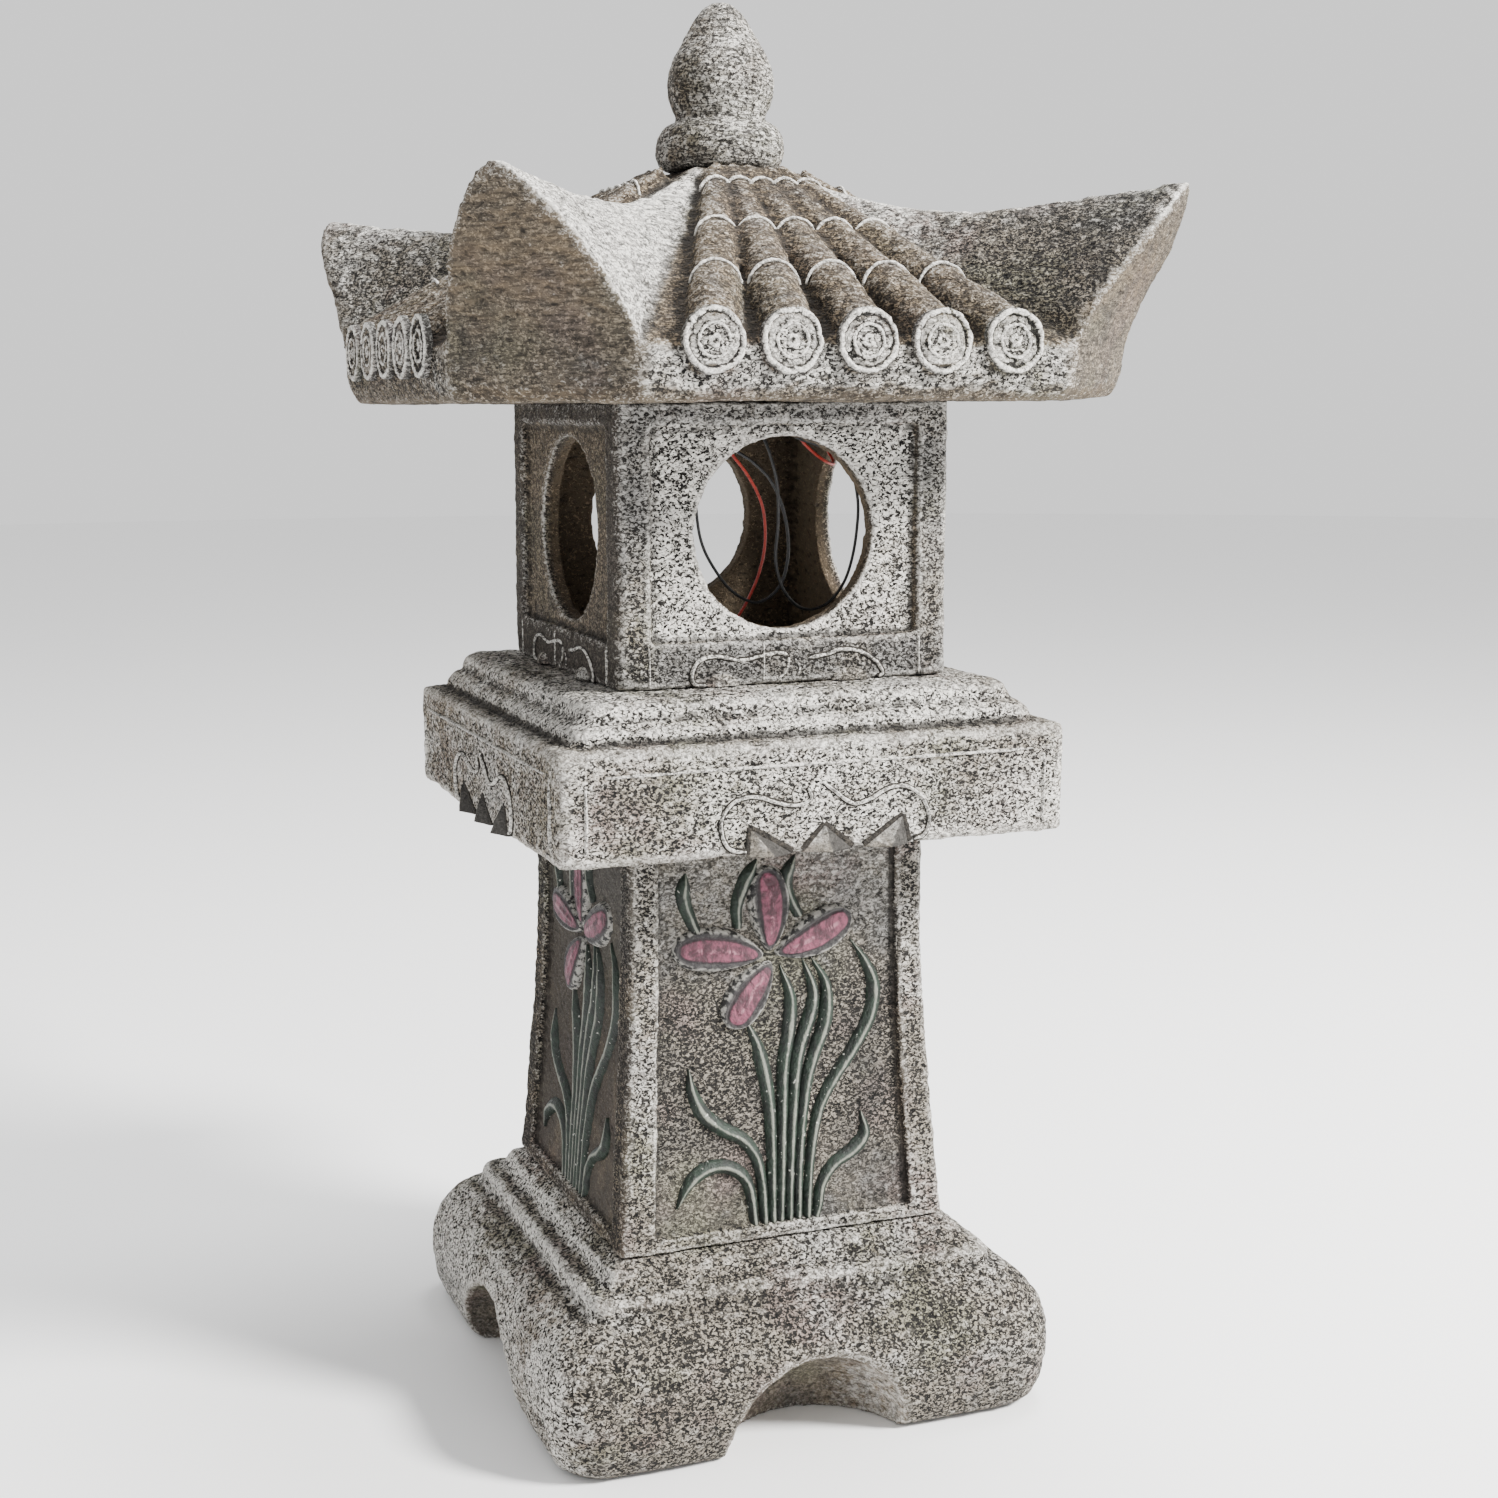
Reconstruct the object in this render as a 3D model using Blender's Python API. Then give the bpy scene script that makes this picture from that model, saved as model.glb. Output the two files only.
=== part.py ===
"""Cast-stone pagoda garden lantern, 500 mm tall, with a solar lamp kit under its roof.

Frame: metres, +Z up, origin at the middle of the base's underside, the front faces -Y.
The castings stack on square spigots: base, post, slab, light box, roof and finial.
"""

import math

import bmesh
import bpy
from mathutils import Matrix, Vector

# ---- driving dimensions, metres ----
GAP = 0.0003  # left between pieces that touch

BASE_TOP = 0.066
BASE_HALF = 0.0955
SCOOP_RADIUS = 0.034  # quarter-ball notch in the middle of each side of the base

SPIGOT_HALF = 0.0200  # square spigots that locate the castings
SPIGOT_LONG = 0.014
SPIGOT_PLAY = 0.0005

POST_TOP = 0.213
POST_PANEL_LOW = 0.071
POST_PANEL_HIGH = 0.2075
POST_PANEL_DEEP = 0.003

SLAB_TOP = 0.2655
SLAB_HALF = 0.0918
BOSS_HIGH = 0.004  # raised floor of the light chamber

BOX_TOP = 0.361
BOX_HALF = 0.0612
BOX_INNER = 0.0515
PANEL_HALF = 0.049
PANEL_LOW = 0.281
PANEL_HIGH = 0.3535
PANEL_DEEP = 0.0025
WINDOW_Z = 0.317
WINDOW_RADIUS = 0.0325

EAVE_LOW = BOX_TOP + GAP  # underside of the roof
EAVE_LIP = 0.3655
EAVE_TOP = 0.379
EAVE_HALF = 0.122
BAY_HALF = 0.074  # half the width of a tiled bay at the eave
BAY_APEX_HALF = 0.013
APEX_HALF = 0.0165
APEX_Z = 0.4417
HORN_Z = 0.4315
HORN_REACH = 0.166  # from the lantern's axis to a horn's tip, in plan
CREST_LOW_Z = 0.4245
CREST_LOW_AT = 0.52  # where the crest dips lowest, as a share of its run
RIM_OUTER = 0.0505  # square rim under the roof, inside the light box
RIM_LOW = 0.3555
CAVITY_HALF = 0.042
CAVITY_TOP = 0.402

TILE_COUNT = 5
TILE_PITCH = 0.0254
TILE_TOP_PITCH = 0.0055
TILE_RADIUS = 0.0102
TILE_TOP_RADIUS = 0.0058
TILE_OUT = 0.1245
TILE_IN = 0.028

FINIAL_LOW = 0.442
FINIAL_SPIGOT = 0.0075
FINIAL_SOCKET_LOW = 0.4285

PLINTH_HALF_X = 0.0325
PLINTH_IN = 0.048  # the solar panel's plinth on the rear bay, measured out from the axis in plan
PLINTH_OUT = 0.104
PLINTH_PROUD = 0.011
TRAY_HALF_X = 0.030
TRAY_LONG = 0.056
TRAY_THICK = 0.0030
CELL_HALF_X = 0.027
CELL_LONG = 0.050
CELL_THICK = 0.0012
PANEL_LEAD_HOLE = 0.0025

HOUSING_HALF_X = 0.038
HOUSING_FRONT = 0.012
HOUSING_BACK = 0.0410
HOUSING_LOW = 0.3717
HOUSING_TOP = 0.4017
WALL = 0.0018
DOOR_X = (-0.029, 0.025)
DOOR_Y = (0.021, 0.038)
DOOR_PLAY = 0.0003
HINGE_Y = 0.0393
HINGE_Z = 0.3700
HINGE_PIN = 0.0006
HINGE_BARREL = 0.0013
LUGS_X = (DOOR_X[0] + 0.004, DOOR_X[1] - 0.004)
LUG_HALF_X = 0.0015
LUG_HALF_Y = 0.0012
BATTERY_RADIUS = 0.0071
BATTERY_LONG = 0.0502
BATTERY_AT = (-0.0015, 0.0297, 0.3820)
NUB_RADIUS = 0.0026
CONTACT_HALF = 0.0045
SPRING_TURNS = 4
SPRING_WIRE = 0.00035  # the wire's radius
SPRING_FOOT = 0.0046
SPRING_TOP = 0.0026
BOARD_X = (-0.030, 0.026)
BOARD_Y = 0.0165
BOARD_Z = (0.3765, 0.3985)
BOARD_THICK = 0.0012
PARTS_PROUD = 0.0015
CHIP = (-0.009, 0.3885, 0.003, 0.0025)  # across, up, half width, half height
CHOKE = (0.010, 0.389, 0.0026)  # across, up, radius
SWITCH_AT = (0.0315, 0.0230)
SWITCH_SLOT = (0.0030, 0.0070)
SWITCH_TRAVEL = 0.003
SWITCH_FOOT_HALF = 0.0030
PIP_HALF_Y = 0.0014
PIP_PROUD = 0.0012
SCREW_RADIUS = 0.0013
SCREW_HEAD_RADIUS = 0.0027
SCREW_LONG = 0.0120  # how far a screw reaches above the cavity's ceiling

LED_AT = (-0.024, -0.022)
LED_HOLDER_RADIUS = 0.013
LED_HOLDER_LOW = 0.3885
LED_RADIUS = 0.0025
LED_TIP = 0.3835
LED_TOP = 0.3955
DIFFUSER_RADIUS = 0.0120
DIFFUSER_WALL = 0.0013

LEAD_RADIUS = 0.00055
LEAD_STEP = 0.0034  # spacing of the points along a lead
GLAND_RADIUS = 0.0045
GLAND_LONG = 0.0020
GROMMET_LONG = 0.0018
GLAND_Z = 0.3815
GLAND_LAMP_X = -0.008
GLAND_CHARGE_X = 0.014
GROMMET_AT = (0.010, -0.006)

QUARTERS = [math.radians(90 * i) for i in range(4)]


# ---- scene, materials and objects ----
def clear_scene():
    for thing in list(bpy.data.objects):
        bpy.data.objects.remove(thing, do_unlink=True)


def material(name, colour, roughness, metallic=0.0):
    mat = bpy.data.materials.new(name)
    mat.use_nodes = True
    shader = mat.node_tree.nodes["Principled BSDF"]
    shader.inputs["Base Color"].default_value = (*colour, 1.0)
    shader.inputs["Roughness"].default_value = roughness
    shader.inputs["Metallic"].default_value = metallic
    return mat


def place(name, bm, mat, smooth=False):
    bmesh.ops.recalc_face_normals(bm, faces=bm.faces)
    mesh = bpy.data.meshes.new(name)
    bm.to_mesh(mesh)
    bm.free()
    thing = bpy.data.objects.new(name, mesh)
    bpy.context.scene.collection.objects.link(thing)
    if mat:
        mesh.materials.append(mat)
    if smooth:
        mesh.shade_smooth()
        mesh.set_sharp_from_angle(angle=math.radians(35))
    return thing


def helper(name, bm):
    thing = place(name, bm, None)
    thing.hide_render = True
    thing.display_type = "WIRE"
    return thing


def combine(thing, other, operation):
    step = thing.modifiers.new(f"{operation.lower()} {other.name}", "BOOLEAN")
    step.object = other
    step.operation = operation
    step.solver = "EXACT"


def cut(thing, other):
    combine(thing, other, "DIFFERENCE")


def join(thing, other):
    combine(thing, other, "UNION")


# ---- solids ----
def square_ring(half, z, corner=0.0, steps=2):
    """A square outline with rounded corners, counter-clockwise, at height z."""
    points = []
    for turn in range(4):
        centre = Vector((half - corner, half - corner, 0))
        for i in range(steps + 1):
            angle = math.radians(90 * i / steps)
            p = centre + corner * Vector((math.cos(angle), math.sin(angle), 0))
            p = Matrix.Rotation(math.radians(90 * turn), 3, "Z") @ p
            points.append(Vector((p.x, p.y, z)))
    return points


def circle_ring(radius, z, steps, centre=(0.0, 0.0)):
    x, y = centre
    turn = [2 * math.pi * i / steps for i in range(steps)]
    return [Vector((x + radius * math.cos(a), y + radius * math.sin(a), z)) for a in turn]


def loft(rings, closed=False):
    """A solid through a list of rings with equally many points. A closed loft joins its last ring
    to its first, as a tube with a wall does; the others get flat ends."""
    bm = bmesh.new()
    rows = [[bm.verts.new(p) for p in ring] for ring in rings]
    pairs = list(zip(rows, rows[1:]))
    if closed:
        pairs.append((rows[-1], rows[0]))
    for low, high in pairs:
        for i in range(len(low)):
            j = (i + 1) % len(low)
            bm.faces.new((low[i], low[j], high[j], high[i]))
    if not closed:
        bm.faces.new(rows[0])
        bm.faces.new(rows[-1])
    return bm


def box(low, high):
    bm = bmesh.new()
    size = [h - l for l, h in zip(low, high)]
    middle = [(h + l) / 2 for l, h in zip(low, high)]
    spot = Matrix.Translation(middle) @ Matrix.Diagonal((*size, 1.0))
    bmesh.ops.create_cube(bm, size=1.0, matrix=spot)
    return bm


def rod(radius, start, end, steps=16):
    """A round bar from one point to another."""
    start, end = Vector(start), Vector(end)
    along = end - start
    turn = Vector((0, 0, 1)).rotation_difference(along).to_matrix().to_4x4()
    bm = loft([circle_ring(radius, 0.0, steps), circle_ring(radius, along.length, steps)])
    bm.transform(Matrix.Translation(start) @ turn)
    return bm


def turned(profile, centre, steps):
    """A solid of revolution about a vertical axis. The profile is (radius, z) from end to end, and
    its first and last points lie on the axis."""
    bm = bmesh.new()
    ends = [bm.verts.new((*centre, profile[i][1])) for i in (0, -1)]
    rows = [[bm.verts.new(p) for p in circle_ring(r, z, steps, centre)] for r, z in profile[1:-1]]
    for low, high in zip(rows, rows[1:]):
        for i in range(steps):
            j = (i + 1) % steps
            bm.faces.new((low[i], low[j], high[j], high[i]))
    for end, row in zip(ends, (rows[0], rows[-1])):
        for i in range(steps):
            bm.faces.new((end, row[i], row[(i + 1) % steps]))
    return bm


def ball(radius, centre):
    bm = bmesh.new()
    spot = Matrix.Translation(centre)
    bmesh.ops.create_uvsphere(bm, u_segments=28, v_segments=16, radius=radius, matrix=spot)
    return bm


def smooth_route(route, step):
    """Points every step along the smooth curve through a route's own points."""
    route = [Vector(p) for p in route]
    ends = [2 * route[0] - route[1]] + route + [2 * route[-1] - route[-2]]
    fine = []
    for a, b, c, d in zip(ends, ends[1:], ends[2:], ends[3:]):
        for i in range(12):
            t = i / 12
            bend = (2 * a - 5 * b + 4 * c - d) * t * t + (3 * b - a - 3 * c + d) * t**3
            fine.append(0.5 * (2 * b + (c - a) * t + bend))
    fine.append(route[-1])
    total = sum((q - p).length for p, q in zip(fine, fine[1:]))
    count = max(2, round(total / step))
    points, walked, at = [fine[0]], 0.0, 0
    for i in range(1, count):
        target = total * i / count
        while walked + (fine[at + 1] - fine[at]).length < target:
            walked += (fine[at + 1] - fine[at]).length
            at += 1
        share = (target - walked) / (fine[at + 1] - fine[at]).length
        points.append(fine[at].lerp(fine[at + 1], share))
    return points + [fine[-1]]


def cord(name, route, radius, step, mat):
    curve = bpy.data.curves.new(name, "CURVE")
    curve.dimensions = "3D"
    curve.bevel_depth = radius
    curve.bevel_resolution = 2
    curve.use_fill_caps = True
    points = smooth_route(route, step)
    line = curve.splines.new("POLY")
    line.points.add(len(points) - 1)
    for spot, p in zip(line.points, points):
        spot.co = (*p, 1.0)
    curve.materials.append(mat)
    thing = bpy.data.objects.new(name, curve)
    bpy.context.scene.collection.objects.link(thing)
    return thing


# ---- castings ----
def stone(name, shade=1.0):
    return material(name, (0.36 * shade, 0.34 * shade, 0.31 * shade), 0.93)


def make_base():
    """A cushion-shaped block with two mouldings on top, a socket, and a notch in each side."""
    rings = [
        square_ring(0.0875, 0.0, 0.012),
        square_ring(0.0925, 0.006, 0.014),
        square_ring(BASE_HALF, 0.018, 0.016),
        square_ring(BASE_HALF, 0.030, 0.016),
        square_ring(0.0925, 0.040, 0.016),
        square_ring(0.0870, 0.0465, 0.014),
        square_ring(0.0785, 0.0505, 0.010),
        square_ring(0.0760, 0.0535, 0.007),
        square_ring(0.0740, 0.0575, 0.006),
        square_ring(0.0690, 0.0590, 0.005),
        square_ring(0.0675, 0.0635, 0.004),
        square_ring(0.0645, BASE_TOP, 0.003),
    ]
    base = place("base", loft(rings), stone("base stone"), smooth=True)
    for i, turn in enumerate(QUARTERS):
        centre = Matrix.Rotation(turn, 3, "Z") @ Vector((0, -BASE_HALF, 0))
        cut(base, helper(f"base notch {i}", ball(SCOOP_RADIUS, centre)))
    cut(base, helper("base socket", socket(BASE_TOP)))


def socket(top):
    half = SPIGOT_HALF + SPIGOT_PLAY
    return box((-half, -half, top - SPIGOT_LONG - SPIGOT_PLAY), (half, half, top + 0.001))


POST_PROFILE = [
    (BASE_TOP + GAP, 0.0626, 0.0495),
    (0.083, 0.0614, 0.0488),
    (0.105, 0.0598, 0.0478),
    (0.131, 0.0579, 0.0465),
    (0.160, 0.0564, 0.0455),
    (0.185, 0.0559, 0.0450),
    (POST_TOP, 0.0560, 0.0450),
]  # height, half width, half width of the sunk panel


def post_at(z):
    """The post's half width and its panel's half width at a height."""
    for low, high in zip(POST_PROFILE, POST_PROFILE[1:]):
        if z <= high[0]:
            t = (z - low[0]) / (high[0] - low[0])
            return [low[i] + (high[i] - low[i]) * t for i in (1, 2)]
    return list(POST_PROFILE[-1][1:])


def make_post():
    """A flared square post with a sunk panel on each face, a spigot below and a socket above."""
    foot = POST_PROFILE[0][0]
    rings = [square_ring(SPIGOT_HALF, foot - SPIGOT_LONG), square_ring(SPIGOT_HALF, foot)]
    rings += [square_ring(half, z, 0.003) for z, half, _ in POST_PROFILE]
    post = place("post", loft(rings), stone("post stone", 1.05))
    heights = [POST_PANEL_LOW, *(row[0] for row in POST_PROFILE[1:-1]), POST_PANEL_HIGH]
    outlines = []
    for z in heights:
        half, panel = post_at(z)
        near, far = half - POST_PANEL_DEEP, half + 0.01
        corners = ((-panel, near), (panel, near), (panel, far), (-panel, far))
        outlines.append([Vector((x, -y, z)) for x, y in corners])
    for i, turn in enumerate(QUARTERS):
        panel = loft(outlines)
        panel.transform(Matrix.Rotation(turn, 4, "Z"))
        cut(post, helper(f"post panel {i}", panel))
    cut(post, helper("post socket", socket(POST_TOP)))


def make_slab():
    """The platform: a thick slab with a stepped moulding and a raised chamber floor on top."""
    foot = POST_TOP + GAP
    floor = BOX_INNER - SPIGOT_PLAY
    rings = [
        square_ring(SPIGOT_HALF, foot - SPIGOT_LONG),
        square_ring(SPIGOT_HALF, foot),
        square_ring(0.0900, foot, 0.004),
        square_ring(SLAB_HALF, 0.2160, 0.005),
        square_ring(SLAB_HALF, 0.2475, 0.005),
        square_ring(0.0893, 0.2518, 0.005),
        square_ring(0.0832, 0.2535, 0.005),
        square_ring(0.0818, 0.2565, 0.006),
        square_ring(0.0795, 0.2585, 0.007),
        square_ring(0.0785, 0.2625, 0.007),
        square_ring(0.0750, 0.2648, 0.006),
        square_ring(0.0690, SLAB_TOP, 0.005),
        square_ring(floor, SLAB_TOP, 0.003),
        square_ring(floor, SLAB_TOP + BOSS_HIGH, 0.003),
    ]
    place("platform_slab", loft(rings), stone("slab stone", 0.97))


def make_light_box():
    """Four walls with a sunk panel and a round window in each, open above and below."""
    foot = SLAB_TOP + GAP
    rings = [
        square_ring(BOX_HALF, foot, 0.003),
        square_ring(BOX_HALF, BOX_TOP, 0.003),
        square_ring(BOX_INNER, BOX_TOP, 0.003),
        square_ring(BOX_INNER, foot, 0.003),
    ]
    light_box = place("light_box", loft(rings, closed=True), stone("light box stone", 0.92))
    for i, turn in enumerate(QUARTERS):
        near = BOX_HALF - PANEL_DEEP
        panel = box((-PANEL_HALF, -BOX_HALF - 0.01, PANEL_LOW), (PANEL_HALF, -near, PANEL_HIGH))
        panel.transform(Matrix.Rotation(turn, 4, "Z"))
        cut(light_box, helper(f"light box panel {i}", panel))
    for axis, end in (("x", Vector((0.08, 0, 0))), ("y", Vector((0, 0.08, 0)))):
        middle = Vector((0, 0, WINDOW_Z))
        window = rod(WINDOW_RADIUS, middle - end, middle + end, steps=40)
        cut(light_box, helper(f"windows along {axis}", window))


# ---- roof ----
def shield_half_width(k):
    """Half the width of a horn's outer face, k from 0 at the eave to 1 at the tip."""
    return (EAVE_HALF - BAY_HALF) / math.sqrt(2) * (1 - k**1.2) ** 0.75


def shield_reach(k):
    """How far a horn's outer face lies from the axis, along the diagonal."""
    low = (EAVE_HALF + BAY_HALF) / math.sqrt(2)
    rise = 0.5 * k + 0.5 * k * k * (3 - 2 * k)
    return low + (HORN_REACH - low) * rise


def crest_z(t):
    """Height of a ridge from the apex, t = 0, to the horn's tip, t = 1."""
    if t < CREST_LOW_AT:
        return CREST_LOW_Z + (APEX_Z - CREST_LOW_Z) * ((CREST_LOW_AT - t) / CREST_LOW_AT) ** 2.2
    return CREST_LOW_Z + (HORN_Z - CREST_LOW_Z) * ((t - CREST_LOW_AT) / (1 - CREST_LOW_AT)) ** 1.3


def bed_z(t):
    return APEX_Z + (EAVE_TOP - APEX_Z) * t


def roof_point(across, t):
    """A point of the front side's upper surface. across runs from -1 at one ridge to 1 at the
    other, with the tiled bay between -0.5 and 0.5, and t from the apex to the outer edge."""
    side = -1 if across < 0 else 1
    in_bay = min(abs(across), 0.5) / 0.5
    k = max(abs(across) - 0.5, 0.0) / 0.5
    if k:
        width, reach = shield_half_width(k), shield_reach(k)
        edge = Vector(((reach - width) / math.sqrt(2), (reach + width) / math.sqrt(2)))
    else:
        edge = Vector((BAY_HALF * in_bay, EAVE_HALF))
    apex = Vector((BAY_APEX_HALF * in_bay + (APEX_HALF - BAY_APEX_HALF) * k, APEX_HALF))
    plan = apex.lerp(edge, t)
    share = k ** (1 + 0.7 * (1 - t))
    z = bed_z(t) + (crest_z(t) - bed_z(t)) * share
    return Vector((side * plan.x, -plan.y, z))


def roof_body():
    """The closed roof casting without its tiles: four sides, four horns and a flat underside."""
    bays = [-1, -0.96, -0.88, -0.8, -0.7, -0.6, -0.5, 0.5, 0.6, 0.7, 0.8, 0.88, 0.96, 1]
    runs = [0, 0.1, 0.2, 0.35, 0.5, 0.65, 0.8, 0.92, 1]
    lows = [EAVE_TOP, EAVE_LIP, EAVE_LOW]
    scales = [1.0, 0.985, 0.962]
    faces = []
    for a, b in zip(bays, bays[1:]):
        for s, t in zip(runs, runs[1:]):
            faces.append([roof_point(a, s), roof_point(a, t), roof_point(b, t), roof_point(b, s)])
    ks = [2 * b - 1 for b in bays if b >= 0.5]
    for low, high in zip(ks, ks[1:]):
        for v, w in ((-1, -0.4), (-0.4, 0.4), (0.4, 1)):
            corners = ((v, low), (w, low), (w, high), (v, high))
            faces.append([horn_point(*corner) for corner in corners])
    rim = [Vector((-BAY_HALF, -EAVE_HALF, EAVE_TOP)), Vector((BAY_HALF, -EAVE_HALF, EAVE_TOP))]
    rim += [horn_point(v, 0) for v in (-0.4, 0.4, 1)]
    for (z0, s0), (z1, s1) in zip(zip(lows, scales), zip(lows[1:], scales[1:])):
        for p, q in zip(rim, rim[1:]):
            corners = ((p, s0, z0), (q, s0, z0), (q, s1, z1), (p, s1, z1))
            faces.append([Vector((r.x * s, r.y * s, z)) for r, s, z in corners])
    centre_top, centre_low = Vector((0, 0, APEX_Z)), Vector((0, 0, EAVE_LOW))
    faces += [[roof_point(a, 0), roof_point(b, 0), centre_top] for a, b in zip(bays, bays[1:])]
    for p, q in zip(rim, rim[1:]):
        low = [Vector((r.x * scales[-1], r.y * scales[-1], EAVE_LOW)) for r in (p, q)]
        faces.append([*low, centre_low])
    bm = bmesh.new()
    for turn in QUARTERS:
        spin = Matrix.Rotation(turn, 3, "Z")
        for face in faces:
            bm.faces.new([bm.verts.new(spin @ p) for p in face])
    bmesh.ops.remove_doubles(bm, verts=bm.verts, dist=1e-6)
    bmesh.ops.dissolve_degenerate(bm, edges=bm.edges, dist=1e-6)
    return bm


def horn_point(v, k):
    """A point of the front right horn's outer face, v from -1 on the front edge to 1."""
    width, reach = shield_half_width(k), shield_reach(k)
    out = reach + 0.003 * (1 - v * v) * width / shield_half_width(0)
    z = EAVE_TOP + (HORN_Z - EAVE_TOP) * k
    along = Vector((1, -1)).normalized()
    beside = Vector((1, 1)).normalized()
    plan = along * out + beside * (v * width)
    return Vector((plan.x, plan.y, z))


def tile_roll(i):
    """One roll of barrel tiles on the front bay, from its round end up to the apex."""
    lane = i - (TILE_COUNT - 1) / 2
    rings = []
    for out, pitch, radius in (
        (TILE_OUT, TILE_PITCH, TILE_RADIUS),
        (EAVE_HALF - 0.012, TILE_PITCH - 0.0024, TILE_RADIUS),
        (TILE_IN, TILE_TOP_PITCH, TILE_TOP_RADIUS),
    ):
        t = (out - APEX_HALF) / (EAVE_HALF - APEX_HALF)
        middle = Vector((lane * pitch, -out, bed_z(t) + 0.0015))
        turns = [2 * math.pi * (j + 0.5) / 12 for j in range(12)]
        rings.append([middle + radius * Vector((math.cos(a), 0, math.sin(a))) for a in turns])
    return loft(rings)


def slope_frame():
    """The rear bay's own frame: x across, y down the slope, z out of it, at the plinth's middle."""
    fall = math.atan2(APEX_Z - EAVE_TOP, EAVE_HALF - APEX_HALF)
    out = (PLINTH_IN + PLINTH_OUT) / 2
    t = (out - APEX_HALF) / (EAVE_HALF - APEX_HALF)
    return Matrix.Translation((0, out, bed_z(t))) @ Matrix.Rotation(-fall, 4, "X"), fall


def make_roof():
    """The roof casting: body, tile rolls, rim and lamp cavity below, solar plinth behind."""
    roof = place("roof", roof_body(), stone("roof stone", 0.88))
    for side, turn in enumerate(QUARTERS):
        rear = side == 2
        for i in range(TILE_COUNT):
            if rear and 0 < i < TILE_COUNT - 1:
                continue
            roll = tile_roll(i)
            roll.transform(Matrix.Rotation(turn, 4, "Z"))
            join(roof, helper(f"tile roll {side} {i}", roll))
    frame, fall = slope_frame()
    long = (PLINTH_OUT - PLINTH_IN) / math.cos(fall) / 2
    plinth = box((-PLINTH_HALF_X, -long, -0.004), (PLINTH_HALF_X, long, PLINTH_PROUD))
    plinth.transform(frame)
    join(roof, helper("solar plinth", plinth))
    rim = loft([square_ring(RIM_OUTER, RIM_LOW, 0.003), square_ring(RIM_OUTER, EAVE_LOW + 0.002, 0.003)])
    join(roof, helper("roof rim", rim))
    ends = (RIM_LOW - 0.001, CAVITY_TOP)
    cavity = loft([square_ring(CAVITY_HALF, z, 0.003) for z in ends])
    cut(roof, helper("lamp cavity", cavity))
    half_x, half_y = TRAY_HALF_X + GAP, TRAY_LONG / 2 + GAP
    floor = PLINTH_PROUD - TRAY_THICK - GAP
    recess = box((-half_x, -half_y, floor), (half_x, half_y, PLINTH_PROUD + 0.005))
    recess.transform(frame)
    cut(roof, helper("solar recess", recess))
    start = frame @ Vector((GROMMET_AT[0], -0.018, floor + 0.002))
    end = (GROMMET_AT[0], GROMMET_AT[1] - 0.004, CAVITY_TOP - 0.002)
    cut(roof, helper("panel lead hole", rod(PANEL_LEAD_HOLE, start, end, steps=10)))
    hole = rod(FINIAL_SPIGOT + SPIGOT_PLAY, (0, 0, FINIAL_SOCKET_LOW), (0, 0, APEX_Z + 0.002), steps=20)
    cut(roof, helper("finial socket", hole))
    for i, (x, y, _) in enumerate(SCREWS):
        hole = rod(0.0018, (x, y, CAVITY_TOP - 0.001), (x, y, CAVITY_TOP + 0.0125), steps=10)
        cut(roof, helper(f"screw hole {i}", hole))


def make_finial():
    """The bud on its ring, with a round spigot in the roof's socket."""
    profile = [
        (0.0, 0.430),
        (FINIAL_SPIGOT, 0.430),
        (FINIAL_SPIGOT, FINIAL_LOW),
        (0.0200, FINIAL_LOW),
        (0.0222, 0.4455),
        (0.0227, 0.4495),
        (0.0219, 0.4535),
        (0.0195, 0.4570),
        (0.0160, 0.4588),
        (0.0158, 0.4605),
        (0.0176, 0.4640),
        (0.0188, 0.4690),
        (0.0186, 0.4745),
        (0.0170, 0.4798),
        (0.0145, 0.4848),
        (0.0117, 0.4892),
        (0.0088, 0.4935),
        (0.0050, 0.4978),
        (0.0, 0.500),
    ]
    place("finial", turned(profile, (0, 0), 24), stone("finial stone", 0.95), smooth=True)


# ---- solar panel ----
def make_solar_panel():
    frame, _ = slope_frame()
    half_x, half_y = TRAY_HALF_X, TRAY_LONG / 2
    low = PLINTH_PROUD - TRAY_THICK
    tray = box((-half_x, -half_y, low), (half_x, half_y, PLINTH_PROUD))
    tray.transform(frame)
    tray = place("solar_tray", tray, material("solar tray plastic", (0.03, 0.03, 0.035), 0.45))
    cell_x, cell_y = CELL_HALF_X, CELL_LONG / 2
    deep = PLINTH_PROUD - CELL_THICK
    low = (-cell_x - GAP, -cell_y - GAP, deep - GAP)
    pocket = box(low, (cell_x + GAP, cell_y + GAP, PLINTH_PROUD + 0.002))
    pocket.transform(frame)
    cut(tray, helper("solar cell pocket", pocket))
    cell = box((-cell_x, -cell_y, deep), (cell_x, cell_y, PLINTH_PROUD - 0.0002))
    cell.transform(frame)
    place("solar_cell", cell, material("solar cell", (0.02, 0.03, 0.09), 0.15))


# ---- battery housing ----
EAR_X = 0.0335
SCREWS = [(-EAR_X, 0.0085, HOUSING_TOP - 0.0025), (EAR_X, 0.0085, HOUSING_TOP - 0.0025)]
LAMP_EAR_Y = LED_AT[1] + LED_HOLDER_RADIUS + 0.004
SCREWS += [(LED_AT[0], LAMP_EAR_Y, HOUSING_TOP - 0.0025)]
SCREW_NAMES = ["housing_screw_left", "housing_screw_right", "lamp_screw"]


def ear_solid(x, y, low, root):
    """A screw ear from the root's edge out to a screw, under the cavity's ceiling."""
    y0, y1 = sorted((y - 0.0035, root))
    y1 = max(y1, y + 0.0035)
    return box((x - 0.0037, y0, low), (x + 0.0037, y1, HOUSING_TOP))


def screw_way(x, y, radius=0.0017):
    return rod(radius, (x, y, HOUSING_TOP - 0.006), (x, y, HOUSING_TOP + 0.001), steps=12)


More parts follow.
